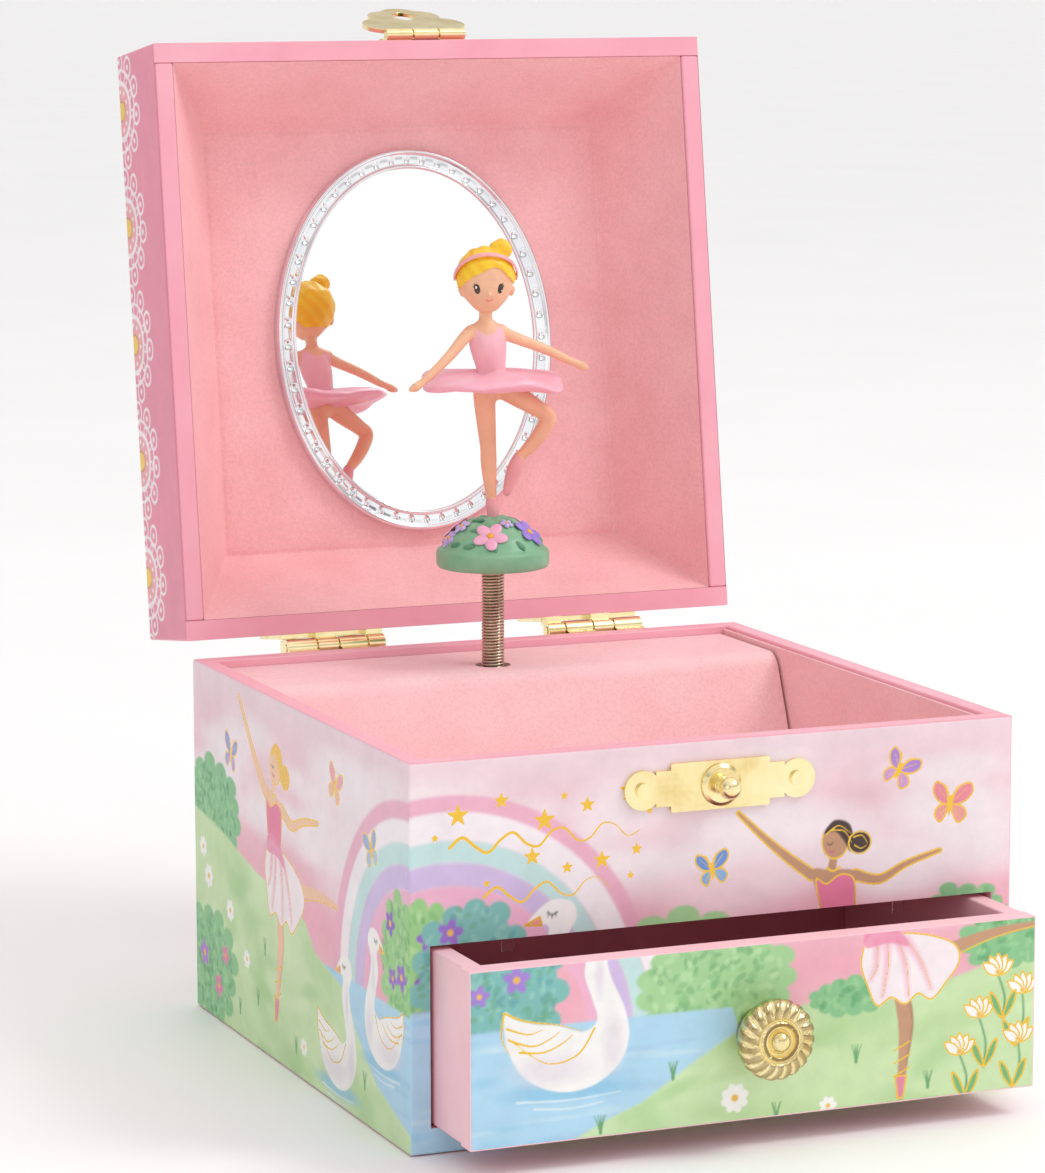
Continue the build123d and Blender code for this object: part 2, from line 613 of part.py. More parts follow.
# ---- movement: key, arbor and crown wheel ----------------------------------
tooth_half = pi * crown_pitch / crown_teeth / 2
crown = rod_y(0, crown_back - crown_thickness, crown_back, 0, crown_pitch + 0.7)
for i in range(crown_teeth):
    tooth = Polyline((-1.30 * tooth_half, 0.1), (-0.30 * tooth_half, -crown_tooth_depth * 0.55),
                     (0.30 * tooth_half, -crown_tooth_depth * 0.55), (1.30 * tooth_half, 0.1), close=True)
    tooth = extrude(Pos(0, crown_back - crown_thickness) * make_face(tooth), 1.2)
    crown += Rot(0, 360 * i / crown_teeth, 0) * Pos(0, 0, crown_pitch - 0.6) * tooth
crown -= rod_y(0, crown_back - crown_thickness - 2, crown_back + 1, 0, arbor_radius)
crown = Pos(figure_x, 0, arbor_z) * crown
save("crown_wheel", crown)

key_y = half_d + 1.0
save("key_arbor", rod_y(figure_x, crown_back - crown_thickness, key_y + 6.0, arbor_z, arbor_radius))
wings = Circle(3.0) + Rectangle(12, 3.4)
for side in (-1, 1):
    wings += Pos(side * 7.0, 2.4) * Ellipse(4.6, 5.2)
key = Pos(figure_x, key_y + key_reach - 7.6, arbor_z) * extrude(wings, 0.8, both=True)
key += rod_y(figure_x, key_y, key_y + 7.6, arbor_z, 3.0)
key -= rod_y(figure_x, key_y - 1, key_y + 6.0, arbor_z, arbor_radius)
save("winding_key", key)

# ---- movement: pinned cylinder, pinion, arbor up to the ballerina ----------
def at_spindle(shape):
    return Pos(figure_x, figure_y, 0) * shape


pinion_z = arbor_z + crown_pitch - 1.1
half_tooth = 360 / pinion_teeth / 2
pinion = Pos(0, 0, pinion_z) * Rot(0, 0, 90 + half_tooth) * spur_gear(
    pinion_teeth, gear_module, 2.2, cylinder_arbor_radius)
save("cylinder_pinion", at_spindle(pinion))
save("spindle", at_spindle(rod_z(0, 0, pinion_z, spindle_tip, cylinder_arbor_radius)
                           + rod_z(0, 0, spring_foot - 3.0, spindle_tip - 0.5, spring_bore - fit)))
cylinder = rod_z(0, 0, cylinder_z, cylinder_top, cylinder_radius)
cylinder -= rod_z(0, 0, cylinder_z - 1, cylinder_top + 1, cylinder_arbor_radius)
note_z = [cylinder_z + cylinder_length / 2 + (i - (comb_notes - 1) / 2) * comb_pitch
          for i in range(comb_notes)]
for i in range(2 * comb_notes):
    angle = 137.5 * i
    spot = Pos(cylinder_radius - 0.2 + (pin_height + 0.2) / 2, 0, note_z[i % comb_notes])
    cylinder += Rot(0, 0, angle) * spot * Rot(0, 90, 0) * Cylinder(pin_radius, pin_height + 0.2)
save("music_cylinder", at_spindle(cylinder))
save("cylinder_gear", at_spindle(Pos(0, 0, gear_z) * spur_gear(
    crown_teeth, gear_module, gear_thickness, cylinder_arbor_radius)))

# ---- movement: bridge that carries the cylinder ----------------------------
bridge_half = 3.6
bridge_low, bridge_high = cylinder_z - 1.9, gear_z + gear_thickness + 0.7
bridge = block(-bridge_half, bridge_half, bedplate_y - 2.0 - figure_y, bedplate_y - figure_y,
               bridge_low, bridge_high + 1.4)
for z in (bridge_low, bridge_high):
    bridge += block(-bridge_half, bridge_half, -2.6, bedplate_y - figure_y, z, z + 1.4)
bridge -= rod_z(0, 0, bridge_low - 1, bridge_high + 3, cylinder_arbor_radius + fit)
save("cylinder_bridge", at_spindle(bridge))

# ---- movement: comb --------------------------------------------------------
comb_tip = cylinder_radius + pin_height + 0.15
comb_root, comb_end = comb_tip + 9.0, comb_tip + 15.0
comb_low, comb_high = note_z[0] - 0.45, note_z[-1] + 0.45
comb = block(comb_tip, comb_end, -comb_thickness / 2, comb_thickness / 2, comb_low, comb_high)
for i in range(comb_notes - 1):
    middle = (note_z[i] + note_z[i + 1]) / 2
    comb -= block(comb_tip - 1, comb_root, -2, 2, middle - 0.12, middle + 0.12)
comb_screw_z = [comb_low + 3.0, comb_high - 3.0]
comb_screw_x = comb_root + 3.0
for z in comb_screw_z:
    comb -= rod_y(comb_screw_x, -2, 2, z, screw_radius + fit)
save("comb", at_spindle(comb))
comb_back = comb_thickness / 2
pillar = block(comb_root + 0.4, comb_end, comb_back, bedplate_y - figure_y, comb_low, comb_high)
for z in comb_screw_z:
    pillar -= rod_y(comb_screw_x, comb_back - 1, comb_back + 5.2, z, screw_radius + fit)
save("comb_pillar", at_spindle(pillar))
for z in comb_screw_z:
    screw = rod_y(comb_screw_x, -comb_thickness / 2, comb_back + 5, z, screw_radius)
    screw += rod_y(comb_screw_x, -comb_thickness / 2 - 1.1, -comb_thickness / 2, z, 2.2)
    screw -= block(comb_screw_x - 3, comb_screw_x + 3, -3, -comb_thickness / 2 - 0.6, z - 0.3, z + 0.3)
    screws.append(at_spindle(screw))
save("movement_screws", *screws)

# ---- movement: governor that holds the speed down --------------------------
train_distance = gear_module * (crown_teeth + pinion_teeth) / 2
train_x = figure_x - train_distance
wheel_pitch = worm_module * worm_wheel_teeth / 2
worm_x = train_x - wheel_pitch - worm_radius
worm_z = cylinder_z + 10.0
wheel_thickness = 0.8
train_low, train_high = worm_z - 4.6, gear_z + gear_thickness + 0.9


def at_train(shape):
    return Pos(train_x, figure_y, 0) * shape


governor_pinion = Pos(0, 0, gear_z - 0.3) * Rot(0, 0, half_tooth) * spur_gear(
    pinion_teeth, gear_module, gear_thickness + 0.6, cylinder_arbor_radius / 2)
governor_pinion += rod_z(0, 0, train_low, train_high + 1.2, cylinder_arbor_radius)
save("governor_pinion", at_train(governor_pinion))
save("worm_wheel", at_train(Pos(0, 0, worm_z - wheel_thickness / 2) * Rot(0, 0, 180 / worm_wheel_teeth)
                            * spur_gear(worm_wheel_teeth, worm_module, wheel_thickness,
                                        cylinder_arbor_radius)))

worm_pitch = pi * worm_module
worm_length = 4.0 * worm_pitch
fly_y0, fly_y1 = figure_y + 5.2, figure_y + 10.6
worm_arbor_radius = 0.6
worm_y0, worm_y1 = figure_y - 6.4, fly_y1 + 1.6
worm_core = rod_y(0, figure_y - worm_length / 2 - 0.6, figure_y + worm_length / 2 + 0.6, 0,
                  worm_radius - 0.42)
thread_path = Helix(worm_pitch, worm_length, worm_radius - 0.5)
thread_start = Plane(origin=thread_path @ 0, z_dir=thread_path % 0, x_dir=(1, 0, 0))
thread_section = thread_start * make_face(
    Polyline((0, -0.24), (0.8, -0.09), (0.8, 0.09), (0, 0.24), close=True))
thread = sweep(thread_section, path=thread_path, is_frenet=True)
thread = Pos(0, figure_y - worm_length / 2, 0) * Rot(-90, 0, 0) * thread
worm = worm_core + thread
worm += rod_y(0, worm_y0, worm_y1, 0, worm_arbor_radius)
save("governor_worm", Pos(worm_x, 0, worm_z) * worm)

fly_hub = rod_y(0, fly_y0, fly_y1, 0, 1.1) - rod_y(0, fly_y0 - 1, fly_y1 + 1, 0, worm_arbor_radius)
fly = fly_hub
for side in (-1, 1):
    low, high = sorted((side * 0.9, side * fly_radius))
    fly += block(low, high, fly_y0 + 0.4, fly_y1 - 0.4, -0.2, 0.2)
save("governor_fly", Pos(worm_x, 0, worm_z) * fly)

arm_half = 1.6
plate_low, plate_high = train_low, train_high + 1.2
arm_out = worm_x - fly_radius - 2.4
governor_frame = block(arm_out, train_x + arm_half, bedplate_y - 1.4, bedplate_y, plate_low, plate_high)
for z in (train_low, train_high):
    governor_frame += block(train_x - arm_half, train_x + arm_half, figure_y - 2.2, bedplate_y, z, z + 1.2)
governor_frame += block(arm_out, arm_out + 1.2, worm_y0, bedplate_y, worm_z - 1.4, worm_z + 1.4)
governor_frame += block(arm_out, worm_x + 1.4, worm_y0, worm_y0 + 1.2, worm_z - 1.4, worm_z + 1.4)
governor_frame -= rod_z(train_x, figure_y, train_low - 1, train_high + 3, cylinder_arbor_radius + fit)
governor_frame -= rod_y(worm_x, worm_y0 - 1, bedplate_y + 0.01, worm_z, worm_arbor_radius + fit)
save("governor_frame", governor_frame)
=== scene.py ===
import json
import random
from math import atan2, cos, exp, hypot, pi, radians, sin, sqrt

import bmesh
import bpy
import numpy as np
from mathutils import Matrix, Quaternion, Vector

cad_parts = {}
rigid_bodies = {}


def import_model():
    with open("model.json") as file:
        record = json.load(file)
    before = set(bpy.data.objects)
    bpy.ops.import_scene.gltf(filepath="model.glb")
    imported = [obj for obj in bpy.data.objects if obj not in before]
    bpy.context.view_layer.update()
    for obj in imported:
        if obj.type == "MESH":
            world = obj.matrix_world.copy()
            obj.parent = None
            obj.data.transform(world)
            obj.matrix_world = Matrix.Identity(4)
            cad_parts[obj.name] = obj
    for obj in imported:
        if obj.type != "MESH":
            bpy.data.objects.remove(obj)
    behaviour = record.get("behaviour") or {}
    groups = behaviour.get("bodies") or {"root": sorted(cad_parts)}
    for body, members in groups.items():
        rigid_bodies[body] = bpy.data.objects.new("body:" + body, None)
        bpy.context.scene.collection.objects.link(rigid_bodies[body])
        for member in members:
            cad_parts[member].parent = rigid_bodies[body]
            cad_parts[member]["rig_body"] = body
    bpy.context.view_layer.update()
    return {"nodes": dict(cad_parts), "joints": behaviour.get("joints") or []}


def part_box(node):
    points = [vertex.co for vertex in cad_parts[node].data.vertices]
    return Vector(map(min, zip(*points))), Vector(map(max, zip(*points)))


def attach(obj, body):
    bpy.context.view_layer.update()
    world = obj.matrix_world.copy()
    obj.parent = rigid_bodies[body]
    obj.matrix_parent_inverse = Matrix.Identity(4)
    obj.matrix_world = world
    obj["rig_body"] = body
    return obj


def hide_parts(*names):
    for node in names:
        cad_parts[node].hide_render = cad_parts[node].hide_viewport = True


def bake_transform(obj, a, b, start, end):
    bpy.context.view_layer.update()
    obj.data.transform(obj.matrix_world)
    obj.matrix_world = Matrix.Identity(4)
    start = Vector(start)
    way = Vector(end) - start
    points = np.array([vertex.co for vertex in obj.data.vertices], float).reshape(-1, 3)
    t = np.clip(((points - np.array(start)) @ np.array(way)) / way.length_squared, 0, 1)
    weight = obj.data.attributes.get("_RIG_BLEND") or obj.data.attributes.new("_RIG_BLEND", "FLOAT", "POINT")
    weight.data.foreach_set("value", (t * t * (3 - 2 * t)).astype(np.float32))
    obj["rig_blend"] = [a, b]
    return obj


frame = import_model()
nodes = frame["nodes"]
joints = {j["name"]: j for j in frame["joints"]}
MM = 0.001
scene = bpy.context.scene
shelf = scene.collection

# ---------------------------------------------------------------- the table and the light
# The box stands on a plain pale table top in an evenly bright room. One large soft lamp
# stands high to the right and a wide pale one fills from the left.

eye = Vector((-0.2989, -0.6899, 0.1966))
heading, dip, roll = radians(22.563), radians(8.605), radians(-0.114)
looking = Vector((sin(heading) * cos(dip), cos(heading) * cos(dip), -sin(dip)))
camera = bpy.data.objects.new("camera", bpy.data.cameras.new("camera"))
camera.data.lens, camera.data.sensor_width, camera.data.clip_start = 132.44, 36.0, 0.05
camera.location = eye
camera.rotation_euler = (looking.to_track_quat("-Z", "Y") @ Quaternion((0, 0, 1), roll)).to_euler()
shelf.objects.link(camera)
scene.camera = camera
scene.view_settings.view_transform = "Standard"


def recipe(name, **plain):
    """A new finish with its shader ready; plain holds the measures that are the same all over."""
    made = bpy.data.materials.new(name)
    made.use_nodes = True
    ready = made.node_tree.nodes["Principled BSDF"]
    for measure, value in plain.items():
        ready.inputs[measure.replace("_", " ").title().replace("Ior", "IOR")].default_value = value
    return made, made.node_tree, ready


def add(tree, kind, inputs=(), **settings):
    """One shader node with its settings, and its inputs set or wired."""
    node = tree.nodes.new("ShaderNode" + kind)
    for key, value in settings.items():
        setattr(node, key, value)
    for key, value in dict(inputs).items():
        if isinstance(value, bpy.types.NodeSocket):
            tree.links.new(value, node.inputs[key])
        else:
            node.inputs[key].default_value = value
    return node


def rgb(text):
    """A colour as it is read off a swatch card, such as e8a0a8, in the renderer's own light."""
    channels = [int(text[i:i + 2], 16) / 255 for i in (0, 2, 4)]
    return [c / 12.92 if c <= 0.04045 else ((c + 0.055) / 1.055) ** 2.4 for c in channels] + [1.0]


def place(tree):
    """Where a point lies on its piece, in metres of the box's own frame."""
    return add(tree, "TexCoord").outputs["Object"]


def grain(tree, scale, detail=4.0, roughness=0.55):
    """Cloudy noise through the piece; scale is how many clouds go to the metre."""
    texture = add(tree, "TexNoise", {"Scale": scale, "Detail": detail, "Roughness": roughness,
                                     "Vector": place(tree)})
    return texture.outputs["Fac"]


def shades(tree, fac, *stops):
    """A run of colours along fac; each stop is (place, colour)."""
    ramp = add(tree, "ValToRGB", {"Fac": fac})
    for i, (at, colour) in enumerate(stops):
        mark = ramp.color_ramp.elements[i] if i < 2 else ramp.color_ramp.elements.new(at)
        mark.position, mark.color = at, rgb(colour)
    return ramp.outputs["Color"]


def mixed(tree, fac, a, b, how="MIX"):
    """Two colours laid together by fac."""
    node = add(tree, "Mix", data_type="RGBA", blend_type=how)
    for socket, value in ((node.inputs[0], fac), (node.inputs[6], a), (node.inputs[7], b)):
        if isinstance(value, bpy.types.NodeSocket):
            tree.links.new(value, socket)
        else:
            socket.default_value = value
    return node.outputs[2]


def between(tree, fac, low, high):
    """A measure that runs from low to high with fac."""
    return add(tree, "MapRange", {"Value": fac, "To Min": low, "To Max": high}).outputs["Result"]


def relief(tree, shader, height, distance, strength=1.0):
    """Fine relief in the finish: height is the pattern, distance its depth in metres."""
    bump = add(tree, "Bump", {"Height": height, "Distance": distance, "Strength": strength})
    tree.links.new(bump.outputs[0], shader.inputs["Normal"])


def wire(tree, shader, **linked):
    """Joins measures of a finish to what drives them."""
    for measure, socket in linked.items():
        tree.links.new(socket, shader.inputs[measure.replace("_", " ").title()])


def clouded(name, colour, gloss, tooth, **plain):
    """A finish of one colour, faintly clouded. Each of the three starts with the grain that varies it:
    colour (grain, deep, pale), gloss (grain, smoothest, roughest) and tooth (grain, depth, strength)."""
    made, tree, shader = recipe(name, **plain)
    wire(tree, shader, base_color=shades(tree, grain(tree, *colour[0]), (0.3, colour[1]), (0.7, colour[2])),
         roughness=between(tree, grain(tree, *gloss[0]), *gloss[1:]))
    relief(tree, shader, grain(tree, *tooth[0]), *tooth[1:])
    return made


table = clouded("table_top", ((9.0,), "fbfafa", "fefdfd"), ((40.0,), 0.5, 0.65), ((900.0,), 0.00004, 0.4))
floor_mesh = bpy.data.meshes.new("floor")
reach = 40.0
floor_mesh.from_pydata([(-reach, -reach, 0), (reach, -reach, 0), (reach, reach, 0), (-reach, reach, 0)],
                       [], [(0, 1, 2, 3)])
floor_mesh.materials.append(table)
floor = bpy.data.objects.new("floor", floor_mesh)
floor.location.z = -0.0002
shelf.objects.link(floor)


def lamp(name, place_at, aim, size, watts, tint):
    """A round soft lamp of some width in metres, aimed at a point."""
    light = bpy.data.lights.new(name, "AREA")
    light.shape, light.size, light.energy, light.color = "DISK", size, watts, tint
    stand = bpy.data.objects.new(name, light)
    stand.location = place_at
    stand.rotation_euler = (Vector(aim) - Vector(place_at)).to_track_quat("-Z", "Y").to_euler()
    shelf.objects.link(stand)


lamp("key_lamp", (0.85, -0.55, 1.25), (0, 0, 0.08), 0.55, 6.4, (1.0, 0.985, 0.97))
lamp("fill_lamp", (-1.3, -0.9, 0.7), (0, 0, 0.08), 0.9, 1.5, (0.98, 0.99, 1.0))
world = bpy.data.worlds.new("room")
world.use_nodes = True
room = world.node_tree
up = add(room, "SeparateXYZ", {0: add(room, "TexCoord").outputs["Generated"]})
walls = shades(room, up.outputs["Z"], (0.0, "f0efef"), (0.05, "ffffff"), (0.24, "ffffff"), (0.42, "a9a6a6"),
               (0.62, "fbfafa"), (1.0, "ffffff"))
room.links.new(walls, room.nodes["Background"].inputs["Color"])
left_wall = add(room, "MapRange", {"Value": up.outputs["X"], "From Min": -0.9, "From Max": -0.1,
                                   "To Min": 0.66, "To Max": 1.1}).outputs["Result"]
room.links.new(left_wall, room.nodes["Background"].inputs["Strength"])
scene.world = world

# ---------------------------------------------------------------- boards of the body
# The body is pressed-fibre board, glued at the corners and wrapped in printed satin paper that
# turns in over the rim. Its corners are a little rounded under the paper.


def rounded(node, radius, finish, steps=2, angle=30, held_back=True):
    """A copy of a piece with its sharp edges rounded off, standing for the piece itself."""
    mesh = nodes[node].data.copy()
    for custom in [a for a in mesh.attributes if a.name == "custom_normal"]:
        mesh.attributes.remove(custom)
    work = bmesh.new()
    work.from_mesh(mesh)
    bmesh.ops.remove_doubles(work, verts=work.verts, dist=2e-6)
    bmesh.ops.dissolve_limit(work, angle_limit=radians(0.8), verts=work.verts, edges=work.edges)
    for face in work.faces:
        face.smooth = True
        face.material_index = 0
    work.to_mesh(mesh)
    work.free()
    mesh.materials.clear()
    mesh.materials.append(finish)
    piece = bpy.data.objects.new(node + "_made", mesh)
    shelf.objects.link(piece)
    softening = piece.modifiers.new("rounding", "BEVEL")
    softening.width, softening.segments = radius * MM, steps
    softening.limit_method, softening.angle_limit = "ANGLE", radians(angle)
    softening.harden_normals, softening.use_clamp_overlap = True, held_back
    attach(piece, nodes[node]["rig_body"])
    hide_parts(node)
    return piece


def finished(names, finish):
    """Gives the finish to pieces that keep the shape they have."""
    for node in names.split():
        for slot in nodes[node].material_slots:
            slot.link = "OBJECT"
            slot.material = finish


def pink_card(name, deep, pale, rough=0.5):
    """Plain pink wrapping paper: a fine tooth, faint clouding and a thin satin coat."""
    made, tree, shader = recipe(name, coat_weight=0.08, coat_roughness=0.35)
    wire(tree, shader,
         base_color=shades(tree, grain(tree, 55.0, 6.0), (0.32, deep), (0.68, pale)),
         roughness=between(tree, grain(tree, 700.0, 3.0), rough - 0.08, rough + 0.1))
    relief(tree, shader, grain(tree, 1500.0, 5.0), 0.00003, 0.35)
    return made


wrapping = pink_card("wrapping_paper", "f2a9b9", "f5b5c2")
for node in ("front_panel", "back_panel", "left_panel", "right_panel"):
    rounded(node, 0.45, wrapping, held_back=False)

printed, tree, shader = recipe("printed_paper")
ink = add(tree, "Attribute", attribute_name="ink").outputs["Color"]
foil = add(tree, "Attribute", attribute_name="foil").outputs["Fac"]
pooled = shades(tree, grain(tree, 210.0, 7.0, 0.65), (0.28, "ececec"), (0.6, "ffffff"))
bloom = shades(tree, grain(tree, 60.0, 5.0, 0.6), (0.3, "efefef"), (0.65, "ffffff"))
paint = mixed(tree, 0.5, mixed(tree, 0.5, ink, pooled, "MULTIPLY"), bloom, "MULTIPLY")
leaf = add(tree, "MapRange", {"Value": foil, "From Min": 0.22, "From Max": 0.55}).outputs["Result"]
wire(tree, shader, base_color=mixed(tree, leaf, paint, rgb("efc244")),
     metallic=between(tree, leaf, 0.0, 0.6),
     roughness=between(tree, leaf, 0.42, 0.26))
relief(tree, shader, grain(tree, 1700.0, 4.0), 0.00003, 0.3)

fine = 0.2
petal_white, pollen, lash_brown = "fdfbf6", "f3c04d", "3c3236"
teal_leaves = ("7fbfb8", "5fa5a6", "9ad0c4", "6fae8d")
low_leaves = ("8cc78f", "74b87c", "a4d69c", "62a770")
blue_wings, lilac_wings, coral_wings = ("6f9ce0", "8ab8ea"), ("b48ad8", "d59fd8"), ("ef8f9f", "f2a49c")


class Picture:
    """A printed picture: the ink and the gold foil on each small square of a face, u across, v up."""

    def __init__(self, left, right, low, high, pitch=1.0):
        self.pitch = fine * pitch
        self.left, self.low = left, low
        self.across = int((right - left) / self.pitch) + 2
        self.up = int((high - low) / self.pitch) + 2
        u = left + self.pitch * np.arange(self.across)
        v = low + self.pitch * np.arange(self.up)
        self.u, self.v = np.meshgrid(u, v)
        self.ink = np.ones(self.u.shape + (3,))
        self.foil = np.zeros(self.u.shape)
        self.stencil = None

    def flood(self, colour, cover=1.0):
        """Washes the whole picture; cover is one share, or a share for each square."""
        self.wash((slice(0, self.up), slice(0, self.across)), np.ones(self.u.shape) * cover, colour)

    def part(self, low_u, high_u, low_v, high_v):
        """The window of squares that covers a run of u and a run of v."""
        i = [int(np.clip((edge - self.left) / self.pitch + more, 0, self.across))
             for edge, more in ((low_u, 0), (high_u, 2))]
        k = [int(np.clip((edge - self.low) / self.pitch + more, 0, self.up))
             for edge, more in ((low_v, 0), (high_v, 2))]
        return slice(*k), slice(*i)

    def wash(self, window, cover, colour):
        """Lays a colour over the squares of a window, as thickly as cover says; gold goes on as foil."""
        if self.stencil is not None:
            cover = cover * self.stencil[window]
        if colour == "gold":
            self.foil[window] = np.maximum(self.foil[window], cover)
            return
        cover = cover[..., None]
        self.ink[window] = self.ink[window] * (1 - cover) + np.array(rgb(colour)[:3]) * cover
        self.foil[window] *= 1 - cover[..., 0]

    def away(self, window, line, closed, widths=None):
        """How far each square of a window lies from a line, below zero inside a closed one."""
        u, v = self.u[window], self.v[window]
        near = np.full(u.shape, 1e9)
        within = np.zeros(u.shape, bool)
        ends = line[1:] + line[:1] if closed else line[1:]
        for i, ((au, av), (bu, bv)) in enumerate(zip(line, ends)):
            du, dv = bu - au, bv - av
            along = np.clip(((u - au) * du + (v - av) * dv) / (du * du + dv * dv + 1e-9), 0, 1)
            gap = np.hypot(u - au - along * du, v - av - along * dv)
            if widths:
                share = (i + along) / len(ends)
                gap = gap - (widths[0] + (widths[1] - widths[0]) * share) / 2
            near = np.minimum(near, gap)
            if closed:
                crosses = (av > v) != (bv > v)
                within ^= crosses & (u < (bu - au) * (v - av) / (bv - av + 1e-12) + au)
        return np.where(within, -near, near)

    def shape(self, outline, colour, edge=0.22, rim=None, share=1.0, curved=True):
        """A filled shape with a soft edge, and a rim line of its own colour if one is named."""
        line = flowing(outline, True) if curved else list(outline)
        us, vs = [p[0] for p in line], [p[1] for p in line]
        window = self.part(min(us) - edge - 1, max(us) + edge + 1, min(vs) - edge - 1, max(vs) + edge + 1)
        if self.u[window].size == 0:
            return
        gap = self.away(window, line, True)
        self.wash(window, share * np.clip(0.5 - gap / edge, 0, 1), colour)
        if rim:
            self.wash(window, np.clip(1.1 - np.abs(gap) / 0.2, 0, 1), rim)

    def stroke(self, points, colour, wide=0.3, narrow=None, rim=None, edge=0.2):
        """A drawn line that runs from wide to narrow along its length."""
        line = flowing(points, False)
        us, vs = [p[0] for p in line], [p[1] for p in line]
        narrow = wide if narrow is None else narrow
        room = max(wide, narrow) + 1
        window = self.part(min(us) - room, max(us) + room, min(vs) - room, max(vs) + room)
        if self.u[window].size == 0:
            return
        gap = self.away(window, line, False, (wide, narrow))
        self.wash(window, np.clip(0.5 - gap / edge, 0, 1), colour)
        if rim:
            self.wash(window, np.clip(1.1 - np.abs(gap) / 0.2, 0, 1), rim)

    def spot(self, at, colour, radius, high=None, edge=0.3, share=1.0, turn=0.0, rim=None):
        """A round or oval dab; edge is how much of it is faded."""
        high = high or radius
        far = max(radius, high) * (1 + edge) + 0.5
        window = self.part(at[0] - far, at[0] + far, at[1] - far, at[1] + far)
        if self.u[window].size == 0:
            return
        u, v = self.u[window] - at[0], self.v[window] - at[1]
        a, b = u * cos(turn) + v * sin(turn), v * cos(turn) - u * sin(turn)
        ratio = np.hypot(a / radius, b / high)
        self.wash(window, share * np.clip((1 - ratio) / edge + 0.5, 0, 1), colour)
        if rim:
            self.wash(window, np.clip(1.1 - np.abs(ratio - 1) * min(radius, high) / 0.17, 0, 1), rim)


def flowing(points, closed, cuts=6):
    """A smooth line through the points."""
    points = [tuple(p) for p in points]
    if len(points) < 3:
        return points
    n = len(points)
    out = []
    for i in range(n if closed else n - 1):
        p = [points[(i + k) % n] if closed else points[min(max(i + k, 0), n - 1)] for k in (-1, 0, 1, 2)]
        for cut in range(cuts):
            t = cut / cuts
            out.append(tuple(0.5 * (2 * b + (c - a) * t + (2 * a - 5 * b + 4 * c - d) * t * t
                                    + (3 * b - a - 3 * c + d) * t ** 3)
                             for a, b, c, d in zip(*p)))
    return out if closed else out + [points[-1]]


def set_down(points, at, size=1.0, turn=0.0, flip=1):
    """Puts an outline that is drawn about its own middle in its place in the picture."""
    c, s = cos(turn), sin(turn)
    return [(at[0] + size * (flip * x * c - y * s), at[1] + size * (flip * x * s + y * c))
            for x, y in points]


def sky_and_rainbow(picture, centre, radii, seed):
    """Pale pink clouds, rosier near the ground, with a five-band rainbow."""
    chance = random.Random(seed)
    picture.flood("f2c8d2")
    picture.flood("f4aebf", np.clip(1 - np.abs(picture.v - 29) / 16, 0, 1))
    picture.flood("f3e3ea", np.clip((picture.v - 52) / 20, 0, 0.6))
    for _ in range(46):
        at = (chance.uniform(-55, 55), chance.choice((chance.uniform(38, 60), chance.uniform(42, 52))))
        picture.spot(at, "f9eff3", chance.uniform(5, 12), chance.uniform(2, 5), edge=1.0, share=0.5)
    gap = np.hypot(picture.u - centre[0], picture.v - centre[1])
    picture.flood("f3aebf", np.clip((radii[-1] - gap) / 2, 0, 0.5))
    for outer, inner, colour in zip(radii, radii[1:], ("f2b2ca", "fbf4f8", "c4e8e6", "d2bfe9", "f2b6d1")):
        band = np.clip((outer - gap) / 0.7 + 0.5, 0, 1) * np.clip((gap - inner) / 0.7 + 0.5, 0, 1)
        picture.flood(colour, 0.93 * band)


def water(picture, bank, seed):
    """A pale blue lake below its bank line, with darker ripples."""
    chance = random.Random(seed)
    picture.shape(bank, "b4dcf3", edge=0.4, curved=False)
    left, right = min(p[0] for p in bank), max(p[0] for p in bank)
    high = max(p[1] for p in bank)
    for _ in range(40):
        at = (chance.uniform(left, right), chance.uniform(2, high))
        picture.spot(at, chance.choice(("9ad2ef", "cfeaf7", "acd0ed")), chance.uniform(2, 5),
                     chance.uniform(0.3, 0.8), edge=0.9, share=0.55)


def meadow(picture, ridge, seed, grass=("cfe8b4", "bedd9f", "dcf0c3", "abd491")):
    """Grassy ground under a ridge line, washed in several greens."""
    chance = random.Random(seed)
    picture.shape(list(ridge) + [(ridge[-1][0], -2), (ridge[0][0], -2)], grass[0], edge=0.7, curved=False)
    line = np.interp(picture.u[0], [p[0] for p in ridge], [p[1] for p in ridge], left=-9, right=-9)
    kept, picture.stencil = picture.stencil, np.clip((line[None, :] - picture.v) / 0.6 + 0.3, 0, 1)
    for _ in range(90):
        at = (chance.uniform(-55, 55), chance.uniform(0, 34))
        picture.spot(at, chance.choice(grass[1:]), chance.uniform(2.5, 8), chance.uniform(1, 3.2),
                     edge=1.0, share=0.5, turn=chance.uniform(-0.3, 0.5))
    picture.stencil = kept


def bush(picture, at, radius, high, seed, greens=("9dd18b", "80c07b", "b6df9f", "6eb06b"), blooms=()):
    """A leafy bush of overlapping dabs, with a few flowers on it."""
    chance = random.Random(seed)
    rim = [(at[0] + radius * cos(a) * k, at[1] + high * sin(a) * k) for a, k in
           ((2 * pi * i / 13, chance.uniform(0.88, 1.08)) for i in range(13))]
    picture.shape(rim, greens[0], edge=0.5)
    for x, z in rim:
        picture.spot((x, z), greens[0], 0.24 * radius, 0.2 * (radius + high) / 2, edge=0.2)
    for _ in range(int(10 + radius * high * 1.5)):
        a, k = chance.uniform(0, 2 * pi), sqrt(chance.random())
        spot = (at[0] + radius * k * cos(a), at[1] + high * k * sin(a))
        picture.spot(spot, chance.choice(greens[1:]), chance.uniform(0.5, 1.1), chance.uniform(0.35, 0.6),
                     edge=0.5, share=0.6, turn=chance.uniform(0, pi))
    for spot, size, petal in blooms:
        flower(picture, spot, size, petal, turn=chance.uniform(0, 1))


